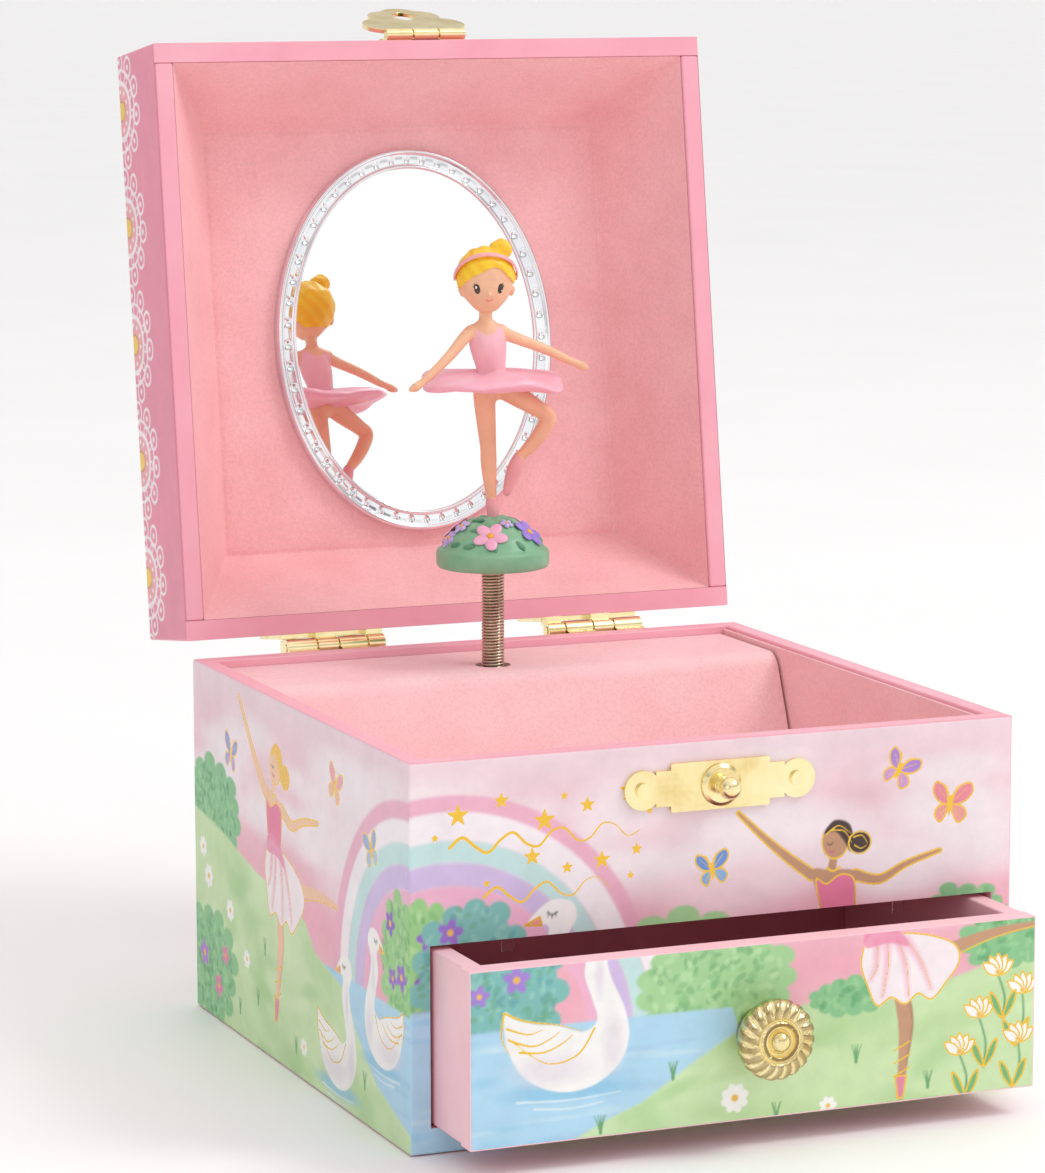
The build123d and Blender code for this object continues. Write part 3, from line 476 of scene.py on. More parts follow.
def flower(picture, at, radius, petal, turn=0.0, petals=5):
    """A flat painted flower with a yellow heart."""
    for i in range(petals):
        a = turn + 2 * pi * i / petals
        tip = (at[0] + 0.58 * radius * cos(a), at[1] + 0.58 * radius * sin(a))
        picture.spot(tip, petal, 0.52 * radius, 0.36 * radius, edge=0.3, turn=a)
    picture.spot(at, pollen, 0.27 * radius, edge=0.5)


def butterfly(picture, at, size, upper, lower, turn=0.0):
    """Four painted wings edged and veined in gold."""
    for flip in (1, -0.82):
        for wing, colour in (((0.3, 0.1), (1.2, 2.5), (3.1, 3.3), (3.6, 1.9), (2.3, 0.4)), upper), \
                            (((0.3, -0.1), (2.2, -0.3), (2.9, -1.6), (1.7, -2.7), (0.7, -1.6)), lower):
            picture.shape(set_down(wing, at, size, turn, flip), colour, rim="gold")
        for vein in (((0.2, 0.2), (1.6, 1.5), (2.6, 2.4)), ((0.2, -0.2), (1.2, -1.0), (1.7, -1.8))):
            picture.stroke(set_down(vein, at, size, turn, flip), "gold", 0.12)
        picture.stroke(set_down(((0.1, 0.9), (0.7, 2.4), (1.2, 3.0)), at, size, turn, flip), "gold", 0.1)
    picture.stroke(set_down(((0, 1.1), (0, -1.7)), at, size, turn), "gold", 0.42 * size, 0.2 * size)


def swan(picture, at, size=1.0, flip=1):
    """A resting swan with its head turned back, its feathers picked out in gold."""
    def put(points):
        return set_down(points, at, size, 0.0, flip)
    picture.spot(put([(0, -6.4)])[0], "8fc9e8", 11 * size, 1.6 * size, edge=0.8, share=0.8)
    picture.shape(put([(-11.2, 7.5), (-10.6, 1.5), (-7.5, -3.6), (-2, -6.3), (4, -6), (8.8, -2.8),
                       (10.6, 1.6), (9.8, 6.5), (7.6, 11.3), (6.8, 15), (8.4, 18), (7.6, 20.6), (4.6, 21.4),
                       (2, 20.2), (-0.4, 17.6), (2, 17.4), (3.4, 16.6), (2.8, 12.5), (4.2, 8.2), (5, 4.8),
                       (2.5, 3.2), (-2, 4.6), (-5.5, 5.2), (-9, 6.2)]), "fbf8f6", edge=0.25)
    for spot, wide, high in (((-3, -2.5), 6, 2.4), ((7.8, 0.5), 1.6, 4), ((5.4, 12), 0.7, 3.5)):
        picture.spot(put([spot])[0], "e6dbe6", wide * size, high * size, edge=1.0, share=0.6)
    for line in (((4.6, 3.6), (1.5, -0.6), (-4, -1.4), (-10.4, 3.2)),
                 ((-11.2, 7.5), (-7.4, 5.8), (-2, 4.7), (2.5, 3.2)),
                 ((-10.8, 4.9), (-7, 3.6), (-4.5, 4.2)),
                 ((-10.4, 3), (-6.4, 1.6), (-3.4, 2.4), (-1.5, 3.6)),
                 ((-8.6, 0.8), (-4.4, 0.4), (-1, 1.6), (0.8, 2.9)),
                 ((-11.2, 7.5), (-11.6, 3.5), (-10.2, 0.6))):
        picture.stroke(put(line), "gold", 0.3 * size, 0.14 * size)
    picture.shape(put([(-0.9, 17.4), (1.9, 18.7), (2.2, 17.2)]), "ee9a8c", curved=False, rim="gold")
    picture.stroke(put([(3.2, 19.3), (4, 18.8), (4.9, 19.2)]), lash_brown, 0.28 * size)
    for lash in ((3.3, 18.5), (4.0, 18.2), (4.7, 18.5)):
        picture.stroke(put([(lash[0], lash[1] + 0.5), lash]), lash_brown, 0.16 * size)
    for low, wide in ((-7.4, 9), (-8.8, 6)):
        picture.stroke(put([(-wide, low), (0, low - 0.5), (wide, low)]), "e4f3fa", 0.35, 0.15)


def dancer(picture, at, skin, hair, size=1.0, flip=1, turn=0.0):
    """A dancer on one toe with both arms out, her dress edged in gold; at is her waist."""
    def put(points):
        return set_down(points, at, size, turn, flip)
    shade = "b98a6d" if hair == "4a3530" else "eab08e"
    picture.stroke(put([(4, -8), (12, -6.4), (21, -4.2), (29, -3.4)]), skin, 3.0 * size, 0.9 * size)
    picture.stroke(put([(4.2, -9.4), (12, -7.9), (21, -5.1), (29, -3.7)]), "gold", 0.2)
    picture.stroke(put([(3.6, -11), (4.6, -19), (3.8, -30.5)]), skin, 3.4 * size, 1.2 * size)
    picture.stroke(put([(4.9, -12), (6, -18), (4.9, -25)]), shade, 0.5 * size)
    for low in (-22.6, -24.8, -27):
        picture.stroke(put([(2.6, low), (5.6, low + 1.4)]), "gold", 0.2)
    picture.shape(put([(2.9, -27), (5, -27), (4.4, -30.6), (3.4, -30.8)]), "e98ca8", curved=False,
                  rim="gold")
    for side, arm in ((0, ((-4.8, 4.6), (-9.6, 8.2), (-14, 12), (-18.4, 16.2))),
                      (1, ((3.4, 3.9), (8, 2.8), (13, 5), (19.4, 6.8)))):
        picture.stroke(put(arm), skin, 2.0 * size, 0.7 * size, rim="gold")
    picture.shape(put([(-4.6, 5.4), (-1.6, 5.2), (3.2, 4.6), (3, 1), (2.2, -3), (-1.6, -2.8), (-3.6, 1)]),
                  skin)
    picture.stroke(put([(-1.2, 4.4), (-0.6, 7.5)]), skin, 1.7 * size, 1.4 * size)
    picture.spot(put([(-0.4, 10.0)])[0], skin, 2.5 * size, 3.0 * size, edge=0.15, rim="gold")
    picture.shape(put([(-2.6, 11.4), (-0.6, 13.6), (2.2, 12.8), (3, 10), (2.4, 8), (1.4, 9.6),
                       (-0.4, 11.6)]), hair)
    picture.spot(put([(4.2, 9.4)])[0], hair, 2.1 * size, 1.9 * size, edge=0.15, rim="gold")
    for lock in (((-2.2, 11.2), (0.2, 12.6), (2.4, 11.2)), ((-1.2, 11.9), (1.2, 11.6), (2.6, 9.6)),
                 ((3.0, 10.4), (4.6, 10.6), (5.6, 9.2)), ((3.2, 9.0), (4.4, 8.4), (5.4, 8.8))):
        picture.stroke(put(lock), "gold", 0.22, 0.12)
    picture.stroke(put([(-2.0, 5.6), (-0.8, 4.9), (0.6, 5.5)]), "gold", 0.3)
    picture.stroke(put([(-1.9, 9.7), (-1.4, 9.4), (-0.9, 9.7)]), lash_brown, 0.2)
    picture.stroke(put([(-1.6, 8.4), (-1.1, 8.1), (-0.6, 8.3)]), "d8647c", 0.3)
    picture.shape(put([(-3.9, 3.8), (-2, 2.8), (0.6, 4.2), (3, 3.4), (3.4, 0), (2.6, -3.6), (-1.8, -3.4),
                       (-3.3, 0)]),
                  "ef7fa4", rim="gold")
    picture.shape(put([(-2, -2.6), (2.4, -2.6), (8.5, -3.4), (13.6, -5.4), (14.6, -8.5), (12, -12),
                       (9.5, -14.4), (7, -13.2), (4.6, -14.8), (2, -13.4), (-0.6, -14.6), (-2.4, -11),
                       (-3.6, -7)]),
                  "fbeef2", rim="gold")
    for fold in ((1.2, -4, 0.4, -13), (3.2, -4, 5.2, -13.4), (4.8, -4, 9.4, -12.6), (-0.6, -4, -1.8, -10)):
        picture.stroke(put([fold[:2], ((fold[0] + fold[2]) / 2 + 0.3, -8), fold[2:]]), "f3b8cd", 1.4, 0.4,
                       edge=1.2)
        picture.stroke(put([fold[:2], ((fold[0] + fold[2]) / 2 + 0.6, -8), fold[2:]]), "gold", 0.14)
    picture.shape(put([(-2.4, -1.6), (2.8, -1.8), (5.2, -5), (1.6, -4.2), (-2.8, -4.6)]), "f08fb0",
                  share=0.85)


def grass(picture, at, seed, high=3.0, blades=5):
    """A tuft of thin blades."""
    chance = random.Random(seed)
    for i in range(blades):
        lean = (i - (blades - 1) / 2) * 0.5 + chance.uniform(-0.2, 0.2)
        picture.stroke([at, (at[0] + lean * 0.5, at[1] + high * 0.6), (at[0] + lean, at[1] + high)],
                       "6aa86e", 0.35, 0.1)


def lily(picture, at, foot):
    """A white flower on a stem with gold-edged leaves."""
    middle = ((at[0] + foot[0]) / 2 + 0.8, (at[1] + foot[1]) / 2)
    picture.stroke([foot, middle, at], "5f9f66", 0.45, 0.3)
    for flip in (-1, 1):
        leaf = ((0, 0), (1.4, 2.2), (1.5, 5.0), (0.4, 3.4))
        picture.shape(set_down(leaf, foot, 1.0, -0.2 * flip, flip), "79b877", rim="gold")
    for a in (-0.9, -0.45, 0, 0.45, 0.9):
        petal = ((0, 0), (0.85, 1.6), (0.25, 3.4), (-0.25, 3.4), (-0.85, 1.6))
        picture.shape(set_down(petal, at, 1.0, a), "fdfbf8", rim="gold")
    picture.spot((at[0], at[1] + 0.5), pollen, 0.5)


def star(picture, at, size):
    """A five-pointed gold star."""
    reach_of = [size * (0.36 if i % 2 else 1) for i in range(10)]
    points = [(r * sin(pi * i / 5), r * cos(pi * i / 5)) for i, r in enumerate(reach_of)]
    picture.shape(set_down(points, at), "gold", curved=False)


face = (-55, 55, 0, 65)
front = Picture(*face)
sky_and_rainbow(front, (-49, 22), (37.3, 34.5, 29.8, 26.2, 22.3, 18.6), 3)
bush(front, (-54, 31), 6, 10.5, 11, blooms=(((-52, 28.9), 2.0, "8d62c0"), ((-51.5, 36), 2.1, "9a6bcb")))
bush(front, (-44.5, 29.5), 8.8, 11.5, 12, teal_leaves,
     (((-47.9, 36.6), 2.1, "9c74cf"), ((-43, 31.9), 2.2, "a884d8"), ((-49.4, 29.8), 1.7, "a884d8")))
bush(front, (-8, 28), 12.5, 7.2, 13, ("a9d69a", "8bc486", "c0e4ae", "74b278"))
water(front, ((-56, -1), (-56, 23.6), (-30, 24), (-5, 23.8), (-3, 18), (-30, -1)), 5)
meadow(front, ((-38, 1), (-34, 4.2), (-27, 7.4), (-21, 9.6), (-12, 15.3), (-6, 18.6), (2, 22), (12, 23.5),
               (22, 22), (34, 24.5), (46, 27.5), (56, 29)), 7)
bush(front, (16.5, 23.5), 6.2, 2.6, 14, low_leaves)
bush(front, (46, 31), 7.5, 4.8, 15, low_leaves)
swan(front, (-34, 19.2))
dancer(front, (22, 36), "c99a78", "4a3530")
butterfly(front, (-1.2, 43), 0.92, *blue_wings, 0.15)
butterfly(front, (33.4, 57.2), 0.98, *lilac_wings, -0.5)
butterfly(front, (43.2, 50.6), 1.15, *coral_wings, -0.1)
flower(front, (-4.5, 8.5), 2.3, petal_white, 0.3, 8)
flower(front, (12.5, 5.4), 1.5, petal_white, 0.1, 7)
for i, spot in enumerate(((-15.6, 12.8), (-28.4, 5.2), (3, 4), (17.6, 12.2), (31, 6.5), (6.5, 14))):
    grass(front, spot, 20 + i)
for spot, foot in (((40.5, 17.6), (41.5, 9)), ((36.9, 11.6), (38, 4)), ((48.7, 21), (47.5, 12)),
                   ((48, 12.6), (47, 5)),
                   ((44, 24.5), (45, 17))):
    lily(front, spot, foot)
for i in range(5):
    star(front, (-46.5 + 7.6 * i, 55.8 + 2.2 * sin(2.1 * i)), 1.5 if i % 2 else 2.1)
for i in range(4):
    star(front, (-33.5 + 6.2 * i, 46.6 + 1.4 * cos(2.3 * i)), 1.2 if i % 2 else 1.7)
for spot in ((-50.5, 52.4), (-12.6, 54.0), (-41.5, 44.2), (-16.0, 43.4), (-27.8, 57.6)):
    star(front, spot, 0.8)
front_swirl = [(-48 + 0.45 * i, 50.6 + 1.5 * sin(0.33 * i) + 0.012 * i) for i in range(0, 78, 5)]
front.stroke(front_swirl, "gold", 0.5, 0.16)
front.stroke([(p[0] + 6, 41.9 + (p[1] - 50.6)) for p in front_swirl[:11]], "gold", 0.42, 0.14)

left = Picture(*face)
sky_and_rainbow(left, (-55, 23), (35.5, 32.4, 28.6, 25, 21, 17.5), 4)
bush(left, (-51, 31), 8, 10.5, 31, blooms=(((-46.5, 37), 2.0, "8d62c0"), ((-51.5, 29), 2.2, "9a6bcb"),
                                          ((-47.5, 28), 1.7, "9a6bcb")))
bush(left, (44, 40), 13, 7, 32, ("86c48c", "5fa56f", "9dd398", "4d9161"))
water(left, ((-56, -1), (-56, 23), (-30, 23.4), (-8, 23), (-10, 18), (-27, 15), (-30, 10), (-56, 2)), 6)
meadow(left, ((-56, 3), (-40, 8), (-30, 15), (-24, 21), (-10, 24), (-5, 28.5), (2, 30), (20, 32),
              (28, 33.5), (40, 36), (56, 38)), 8)
swan(left, (-43, 17), 0.82)
swan(left, (-21, 8.5), 0.86, -1)
dancer(left, (10.5, 42), "f6c9a6", "f3c04d", 1.12, -1, 0.12)
bush(left, (46, 10), 12, 9, 33, ("8cc98f", "6ab079", "a8dba0", "57a069"),
     (((42, 6.5), 2.1, "e884b4"), ((50, 11), 2.3, "b17fd4"), ((38, 13), 1.8, "e884b4")))
for spot, size in (((35, 22), 1.9), ((47, 26), 2.1), ((50, 31), 1.8), ((26, 15), 1.6), ((-4, 6), 1.5)):
    flower(left, spot, size, petal_white, size, 7)
butterfly(left, (-21, 55), 1.0, "f2a8c4", "f6c0a8", 0.3)
butterfly(left, (-38, 47.5), 0.95, "8fb4ea", "a8c8ee", -0.3)
butterfly(left, (33.5, 51), 1.05, "8f9fe4", "b0a4e6", 0.2)
for i, spot in enumerate(((0, 4), (20, 8), (16, 18), (-34, 6), (30, 4))):
    grass(left, spot, 60 + i)

right = Picture(*face, 1.5)
sky_and_rainbow(right, (40, 20), (37, 34, 29.6, 26, 22, 18.4), 9)
bush(right, (-46, 30), 12, 10, 41, blooms=(((-44, 34), 2.2, "9a6bcb"), ((-50, 28), 2, "8d62c0")))
water(right, ((4, -1), (0, 14), (8, 22), (30, 23.5), (56, 23), (56, -1)), 16)
meadow(right, ((-56, 31), (-30, 28), (-14, 25), (2, 21), (14, 13), (26, 6), (38, 1)), 17)
swan(right, (30, 16), 0.95, -1)
dancer(right, (-22, 40), "f0bf98", "8a4a2e", 1.05, -1)
butterfly(right, (4, 52), 1.1, *coral_wings, 0.3)
butterfly(right, (-46, 52), 1.0, *blue_wings, -0.2)
for spot, foot in (((-44, 17), (-43, 8)), ((-38, 12), (-39, 4)), ((-6, 13), (-5, 5))):
    lily(right, spot, foot)

back = Picture(*face, 1.5)
sky_and_rainbow(back, (0, 18), (38, 35, 30.6, 27, 23, 19), 10)
bush(back, (-44, 28), 13, 9, 51, blooms=(((-40, 32), 2.2, "9a6bcb"), ((-49, 27), 2, "8d62c0")))
bush(back, (45, 28), 13, 10, 52, teal_leaves)
water(back, ((-34, -1), (-26, 20), (0, 23), (26, 20), (36, -1)), 18)
meadow(back, ((-56, 26), (-38, 20), (-24, 9), (-8, 3), (10, 2), (26, 9), (40, 20), (56, 27)), 19)
swan(back, (-8, 15), 0.8)
swan(back, (14, 12), 0.66, -1)
for spot, foot in (((-42, 15), (-41, 6)), ((-47, 20), (-48, 11)), ((40, 14), (41, 6)), ((47, 18), (46, 8))):
    lily(back, spot, foot)
butterfly(back, (-30, 50), 1.0, *lilac_wings, 0.2)
butterfly(back, (34, 46), 1.1, *coral_wings, -0.3)


def paper_sheet(name, body, picture, stand, spans_u, spans_v, gaps=(), turn_in=0.45):
    """The printed sheet on one face: flat, turned in round the outer edges, cut out where gaps say.
    spans are the runs of the sheet across and up; stand gives the place of (u, v, proud)."""
    def ruled(spans):
        marks = []
        for low, high in zip(spans, spans[1:]):
            count = max(1, round((high - low) / picture.pitch))
            marks += [low + (high - low) * i / count for i in range(count)]
        return marks + [spans[-1]]

    def over_edge(mark, low, high):
        for edge, side in ((low, -1), (high, 1)):
            past = side * (mark - edge) + turn_in
            if turn_in and past > 0:
                a = min(past / turn_in, 1) * pi / 4
                return edge + side * ((turn_in + lift) * sin(a) - turn_in), (turn_in + lift) * (cos(a) - 1)
        return mark, 0.0

    lift = 0.06
    us, vs = ruled(spans_u), ruled(spans_v)
    spots_u = [over_edge(u, spans_u[0], spans_u[-1]) for u in us]
    spots_v = [over_edge(v, spans_v[0], spans_v[-1]) for v in vs]
    points = [stand(u, v, lift + sink_u + sink_v) for v, sink_v in spots_v for u, sink_u in spots_u]
    wide = len(us)
    faces = []
    for k in range(len(vs) - 1):
        for i in range(wide - 1):
            middle = ((us[i] + us[i + 1]) / 2, (vs[k] + vs[k + 1]) / 2)
            if not any(hypot(middle[0] - g[0], middle[1] - g[1]) < g[2] if len(g) == 3 else
                       g[0] < middle[0] < g[1] and g[2] < middle[1] < g[3] for g in gaps):
                first = k * wide + i
                faces.append((first, first + 1, first + wide + 1, first + wide))
    mesh = bpy.data.meshes.new(name)
    mesh.from_pydata([[c * MM for c in p] for p in points], [], faces)
    grid_u, grid_v = np.meshgrid(us, vs)
    fu = np.clip((grid_u.ravel() - picture.left) / picture.pitch, 0, picture.across - 1.001)
    fv = np.clip((grid_v.ravel() - picture.low) / picture.pitch, 0, picture.up - 1.001)
    iu, iv = fu.astype(int), fv.astype(int)
    tu, tv = (fu - iu)[:, None], (fv - iv)[:, None]
    whole = np.dstack([picture.ink, picture.foil])
    colours = ((whole[iv, iu] * (1 - tu) + whole[iv, iu + 1] * tu) * (1 - tv)
               + (whole[iv + 1, iu] * (1 - tu) + whole[iv + 1, iu + 1] * tu) * tv)
    inks = np.ones((len(points), 4), np.float32)
    inks[:, :3] = colours[:, :3]
    mesh.attributes.new("ink", "FLOAT_COLOR", "POINT").data.foreach_set("color", inks.ravel())
    foils = mesh.attributes.new("foil", "FLOAT", "POINT")
    foils.data.foreach_set("value", colours[:, 3].astype(np.float32))
    mesh.polygons.foreach_set("use_smooth", [True] * len(mesh.polygons))
    proud = Vector(stand(0, 0, 1)) - Vector(stand(0, 0, 0))
    if mesh.polygons[0].normal.dot(proud) < 0:
        mesh.flip_normals()
    mesh.materials.append(printed)
    sheet = bpy.data.objects.new(name, mesh)
    shelf.objects.link(sheet)
    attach(sheet, body)
    return sheet


def corners(node):
    """The low and the high corner of a piece's box, in millimetres."""
    return (Vector(v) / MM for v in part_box(node))


_, high_corner = corners("front_panel")
half, rim = high_corner.x, high_corner.z
opening_half, opening_foot, opening_top = 51.45, 4.3, 34.7
paper_sheet("front_paper", "root", front, lambda u, v, out: (u, -half - out, v),
            (-half, -opening_half, opening_half, half), (0, opening_foot, opening_top, rim),
            gaps=((-opening_half, opening_half, opening_foot, opening_top),))
paper_sheet("left_paper", "root", left, lambda u, v, out: (-half - out, u, v), (-half, half), (0, rim))
paper_sheet("right_paper", "root", right, lambda u, v, out: (half + out, u, v), (-half, half), (0, rim))
key_low, key_high = corners("winding_key")
arbor_z, key_hole_r = 15.0, 2.9
paper_sheet("back_paper", "root", back, lambda u, v, out: (u, half + out, v), (-half, half), (0, rim),
            gaps=(((key_low.x + key_high.x) / 2, arbor_z, key_hole_r),))

# ---------------------------------------------------------------- bottom, tray and movement cover
# The bottom board is papered. The tray floor, its side lining and the bent card shelf over the
# movement are covered in short-pile pink flock; the board that hides the movement is plain.

def flock(name, deep, pale):
    """Short-pile flock: a soft nap that lightens at glancing angles, brushed in faint patches."""
    made, tree, shader = recipe(name, sheen_weight=0.35, sheen_roughness=0.5, specular_ior_level=0.15)
    patches = shades(tree, grain(tree, 75.0, 5.0, 0.6), (0.3, deep), (0.7, pale))
    pile = shades(tree, grain(tree, 1900.0, 2.0), (0.3, "e6e6e6"), (0.65, "ffffff"))
    wire(tree, shader, base_color=mixed(tree, 0.5, patches, pile, "MULTIPLY"),
         roughness=between(tree, grain(tree, 300.0), 0.85, 1.0))
    shader.inputs["Sheen Tint"].default_value = rgb("ffd9dc")
    relief(tree, shader, grain(tree, 2300.0, 3.0), 0.00012, 0.55)
    return made


tray_flock = flock("tray_flock", "fcc8cb", "ffd4d6")
for node, radius in (("tray_lining", 0.2), ("tray_floor", 0.3), ("movement_cover", 0.35)):
    rounded(node, radius, tray_flock)
fibre = clouded("fibre_board", ((420.0, 6.0, 0.7), "9c7a58", "c09c76"), ((90.0,), 0.75, 0.95),
                ((900.0, 5.0), 0.0001, 0.5), specular_ior_level=0.3)
finished("cover_ledge bay_partition", fibre)
rounded("bottom_panel", 0.3, pink_card("under_paper", "e3a2b2", "ecb0be"))

clear, tree, shader = recipe("clear_tab", transmission_weight=1.0, ior=1.49)
wire(tree, shader, base_color=shades(tree, grain(tree, 300.0), (0.3, "f1f4f5"), (0.7, "ffffff")),
     roughness=between(tree, grain(tree, 500.0), 0.05, 0.14))
rounded("drawer_stop_tabs", 0.08, clear)

# ---------------------------------------------------------------- catch, hasp and hinges
# Stamped brass-plated steel: a catch plate with a domed stud on the front, two small hinges at
# the back and a swinging hasp on the lid, all held by dome-headed nails and pins.

brass, tree, shader = recipe("polished_brass", metallic=1.0)
smudge = grain(tree, 130.0, 6.0, 0.65)
edges = add(tree, "NewGeometry").outputs["Pointiness"]
# Painted shade: the concave edges and hollows of the brass, where Pointiness is low, are darkened towards
# dark brown.
crevice_shade = shades(tree, edges, (0.44, "6e4f1c"), (0.485, "ffffff"))
gilding = shades(tree, smudge, (0.25, "e4ca86"), (0.5, "f8e7b0"), (0.8, "fff3c8"))
wire(tree, shader, base_color=mixed(tree, 0.8, gilding, crevice_shade, "MULTIPLY"),
     roughness=between(tree, grain(tree, 420.0, 5.0), 0.12, 0.3))
relief(tree, shader, grain(tree, 260.0, 5.0), 0.00006, 0.3)
for node, radius in (("catch_stud", 0.12), ("hinge_body_leaves", 0.22),
                     ("hinge_lid_leaves", 0.22), ("hasp_leaf", 0.2), ("hasp_plate", 0.25)):
    rounded(node, radius, brass, 3)
finished("catch_plate body_nails lid_nails hinge_pins hasp_pin", brass)


# ---------------------------------------------------------------- boards of the lid
# The lid is a shallow box of the same board. Its outside is rose paper printed with a row of
# white lace doilies with gold centres; the edge that meets the body is plain pink.

rose = pink_card("rim_paper", "f09fb1", "f4aebd")
for node in ("lid_top_panel", "lid_front_wall", "lid_back_wall", "lid_left_wall", "lid_right_wall"):
    rounded(node, 0.45, rose)


lace_white, lace_rose, doily_gap = "fbeff1", "ee8da6", 21.97


def doily(picture, at, size=1.0, beads=11):
    """A round lace mat: a gold oval, two rings, scallops between them and an outer row of loops."""
    def ring(radius, wide, high=1.0):
        turns = [2 * pi * i / 40 for i in range(41)]
        points = [(at[0] + size * radius * cos(b), at[1] + size * radius * high * sin(b)) for b in turns]
        picture.stroke(points, lace_white, wide * size)
    picture.spot(at, "f3a6ae", 4.9 * size, 5.2 * size, edge=0.1)
    ring(5.3, 1.0, 1.05)
    ring(7.7, 0.55, 1.05)
    for i in range(beads):
        a = 2 * pi * (i + 0.5) / beads
        for radius, bead, wide in ((6.5, 0.75, 0.35), (9.3, 1.9, 0.55)):
            middle = (at[0] + size * radius * cos(a), at[1] + size * radius * sin(a))
            loop = [(middle[0] + size * bead * cos(b * pi / 4), middle[1] + size * bead * sin(b * pi / 4))
                    for b in range(9)]
            picture.stroke(loop, lace_white, wide * size)
        picture.spot((at[0] + size * 9.3 * cos(a), at[1] + size * 9.3 * sin(a)), lace_white, 0.55 * size)
        picture.spot((at[0] + size * 3.7 * cos(a), at[1] + size * 3.7 * sin(a)), "fdf6f4", 0.42 * size,
                     edge=0.6)
    picture.spot(at, "b98a3a", 2.0 * size, 2.7 * size, edge=0.1)
    picture.spot(at, "gold", 1.7 * size, 2.3 * size, edge=0.2)


lid_low, lid_high = rim + 0.3, rim + 23.0
lace = Picture(-55, 55, lid_low, lid_high)
lace.flood(lace_rose)
along_row = [-44.6 + doily_gap * i for i in range(6)]
for u in along_row:
    doily(lace, (u, lid_high - 1.0))
lace_top = Picture(-55, 55, -55, 55, 1.8)
lace_top.flood(lace_rose)
for u in along_row:
    for spot in ((u, 54), (u, -54), (54, u), (-54, u)):
        doily(lace_top, spot)
for i in range(12):
    doily(lace_top, (24 * cos(pi * i / 6), 24 * sin(pi * i / 6)), 0.52)
doily(lace_top, (0, 0), 1.5, 14)

hinge = Vector(joints["lid_hinge"]["pos_m"]) / MM
open_angle = radians(joints["lid_hinge"]["range_deg"][1])
opening_turn = (Matrix.Translation(hinge) @ Matrix.Rotation(-open_angle, 4, "X")
                @ Matrix.Translation(-hinge))


def on_lid(x, y, z):
    """Where a point of the shut lid stands now that the lid is open."""
    return tuple(opening_turn @ Vector((x, y, z)))


for name, picture, stand, up in (
        ("lid_left_lace", lace, lambda u, v, out: on_lid(-half - out, u, v), (lid_low, lid_high)),
        ("lid_right_lace", lace, lambda u, v, out: on_lid(half + out, u, v), (lid_low, lid_high)),
        ("lid_front_lace", lace, lambda u, v, out: on_lid(u, -half - out, v), (lid_low, lid_high)),
        ("lid_back_lace", lace, lambda u, v, out: on_lid(u, half + out, v), (lid_low, lid_high)),
        ("lid_top_lace", lace_top, lambda u, v, out: on_lid(u, v, lid_high + out), (-half, half))):
    paper_sheet(name, "lid", picture, stand, (-half, half), up)

# ---------------------------------------------------------------- lid lining
# Flock-covered card: four sloping sides folded up from one flat back panel, pushed into the lid.
# The folds are soft, and the long sides bow very slightly.

def bands(rows, around, first=0):
    """The squares between rows of points that each run once round."""
    return [(first + k * around + i, first + k * around + (i + 1) % around,
             first + (k + 1) * around + (i + 1) % around, first + (k + 1) * around + i)
            for k in range(rows - 1) for i in range(around)]


def bands_inside_out(rows, around):
    """The same squares facing the other way, each still begun at its low corner."""
    return [(a, d, c, b) for a, b, c, d in bands(rows, around)]


def fresh(name, points, faces, finish, body, smooth=True, replaces=()):
    """A new piece from its points in millimetres, riding on a body."""
    mesh = bpy.data.meshes.new(name)
    mesh.from_pydata([[c * MM for c in p] for p in points], [], faces)
    mesh.polygons.foreach_set("use_smooth", [smooth] * len(mesh.polygons))
    mesh.materials.append(finish)
    piece = bpy.data.objects.new(name, mesh)
    shelf.objects.link(piece)
    if body:
        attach(piece, body)
    for node in replaces:
        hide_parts(node)
    return piece


half_marks = [0.25, 0.5, 0.72, 0.86, 0.93, 0.965, 0.985, 0.994]
side_marks = [-1] + [-t for t in reversed(half_marks)] + [0] + half_marks


mouth_half, draws_in, liner_deep, liner_lip = 51.35, 10.8, 18.1, 0.45


def liner_ring(level):
    """One turn round the lining at a level, 0 at the lid's rim and 1 at the flat panel."""
    wide = mouth_half - draws_in * level
    crease = 0.16 * (1 - abs(2 * level - 1) ** 3)
    points = []
    for side in range(4):
        c, s = ((1, 0), (0, 1), (-1, 0), (0, -1))[side]
        for t in side_marks:
            fold_line = exp(-(((1 - abs(t)) / 0.012) ** 2))
            swell = 0.22 * sin(pi * level) * (1 - t * t) + crease * fold_line - crease
            points.append(((wide - swell) * c - t * wide * s, (wide - swell) * s + t * wide * c))
    return points


rings = [(liner_ring(i / 10), lid_low + liner_lip + liner_deep * (i / 10)) for i in range(11)]
inner = liner_ring(1.0)
for shrink, sunk in ((0.997, 0.16), (0.993, 0.42), (0.986, 0.46), (0.978, 0.3), (0.965, 0.2), (0.93, 0.18),
                     (0.8, 0.18), (0.5, 0.18), (0.25, 0.18)):
    rings.append(([(x * shrink, y * shrink) for x, y in inner], lid_low + 18.55 + sunk))
turn_count = len(inner)
points = [on_lid(x, y, z) for ring, z in rings for x, y in ring] + [on_lid(0, 0, lid_low + 18.73)]
faces = bands(len(rings), turn_count)
last = (len(rings) - 1) * turn_count
faces += [(last + i, last + (i + 1) % turn_count, len(points) - 1) for i in range(turn_count)]
lid_flock = flock("lid_flock", "f7b6b9", "fec5c7")
fresh("lid_lining", points, faces, lid_flock, "lid",
      replaces=("lid_liner_walls", "lid_liner_panel"))

# ---------------------------------------------------------------- mirror
# Silvered glass in an oval frame of chrome-plated plastic: a rolled outer lip, a flat band with a
# row of round dimples and a stepped inner lip that grips the glass.

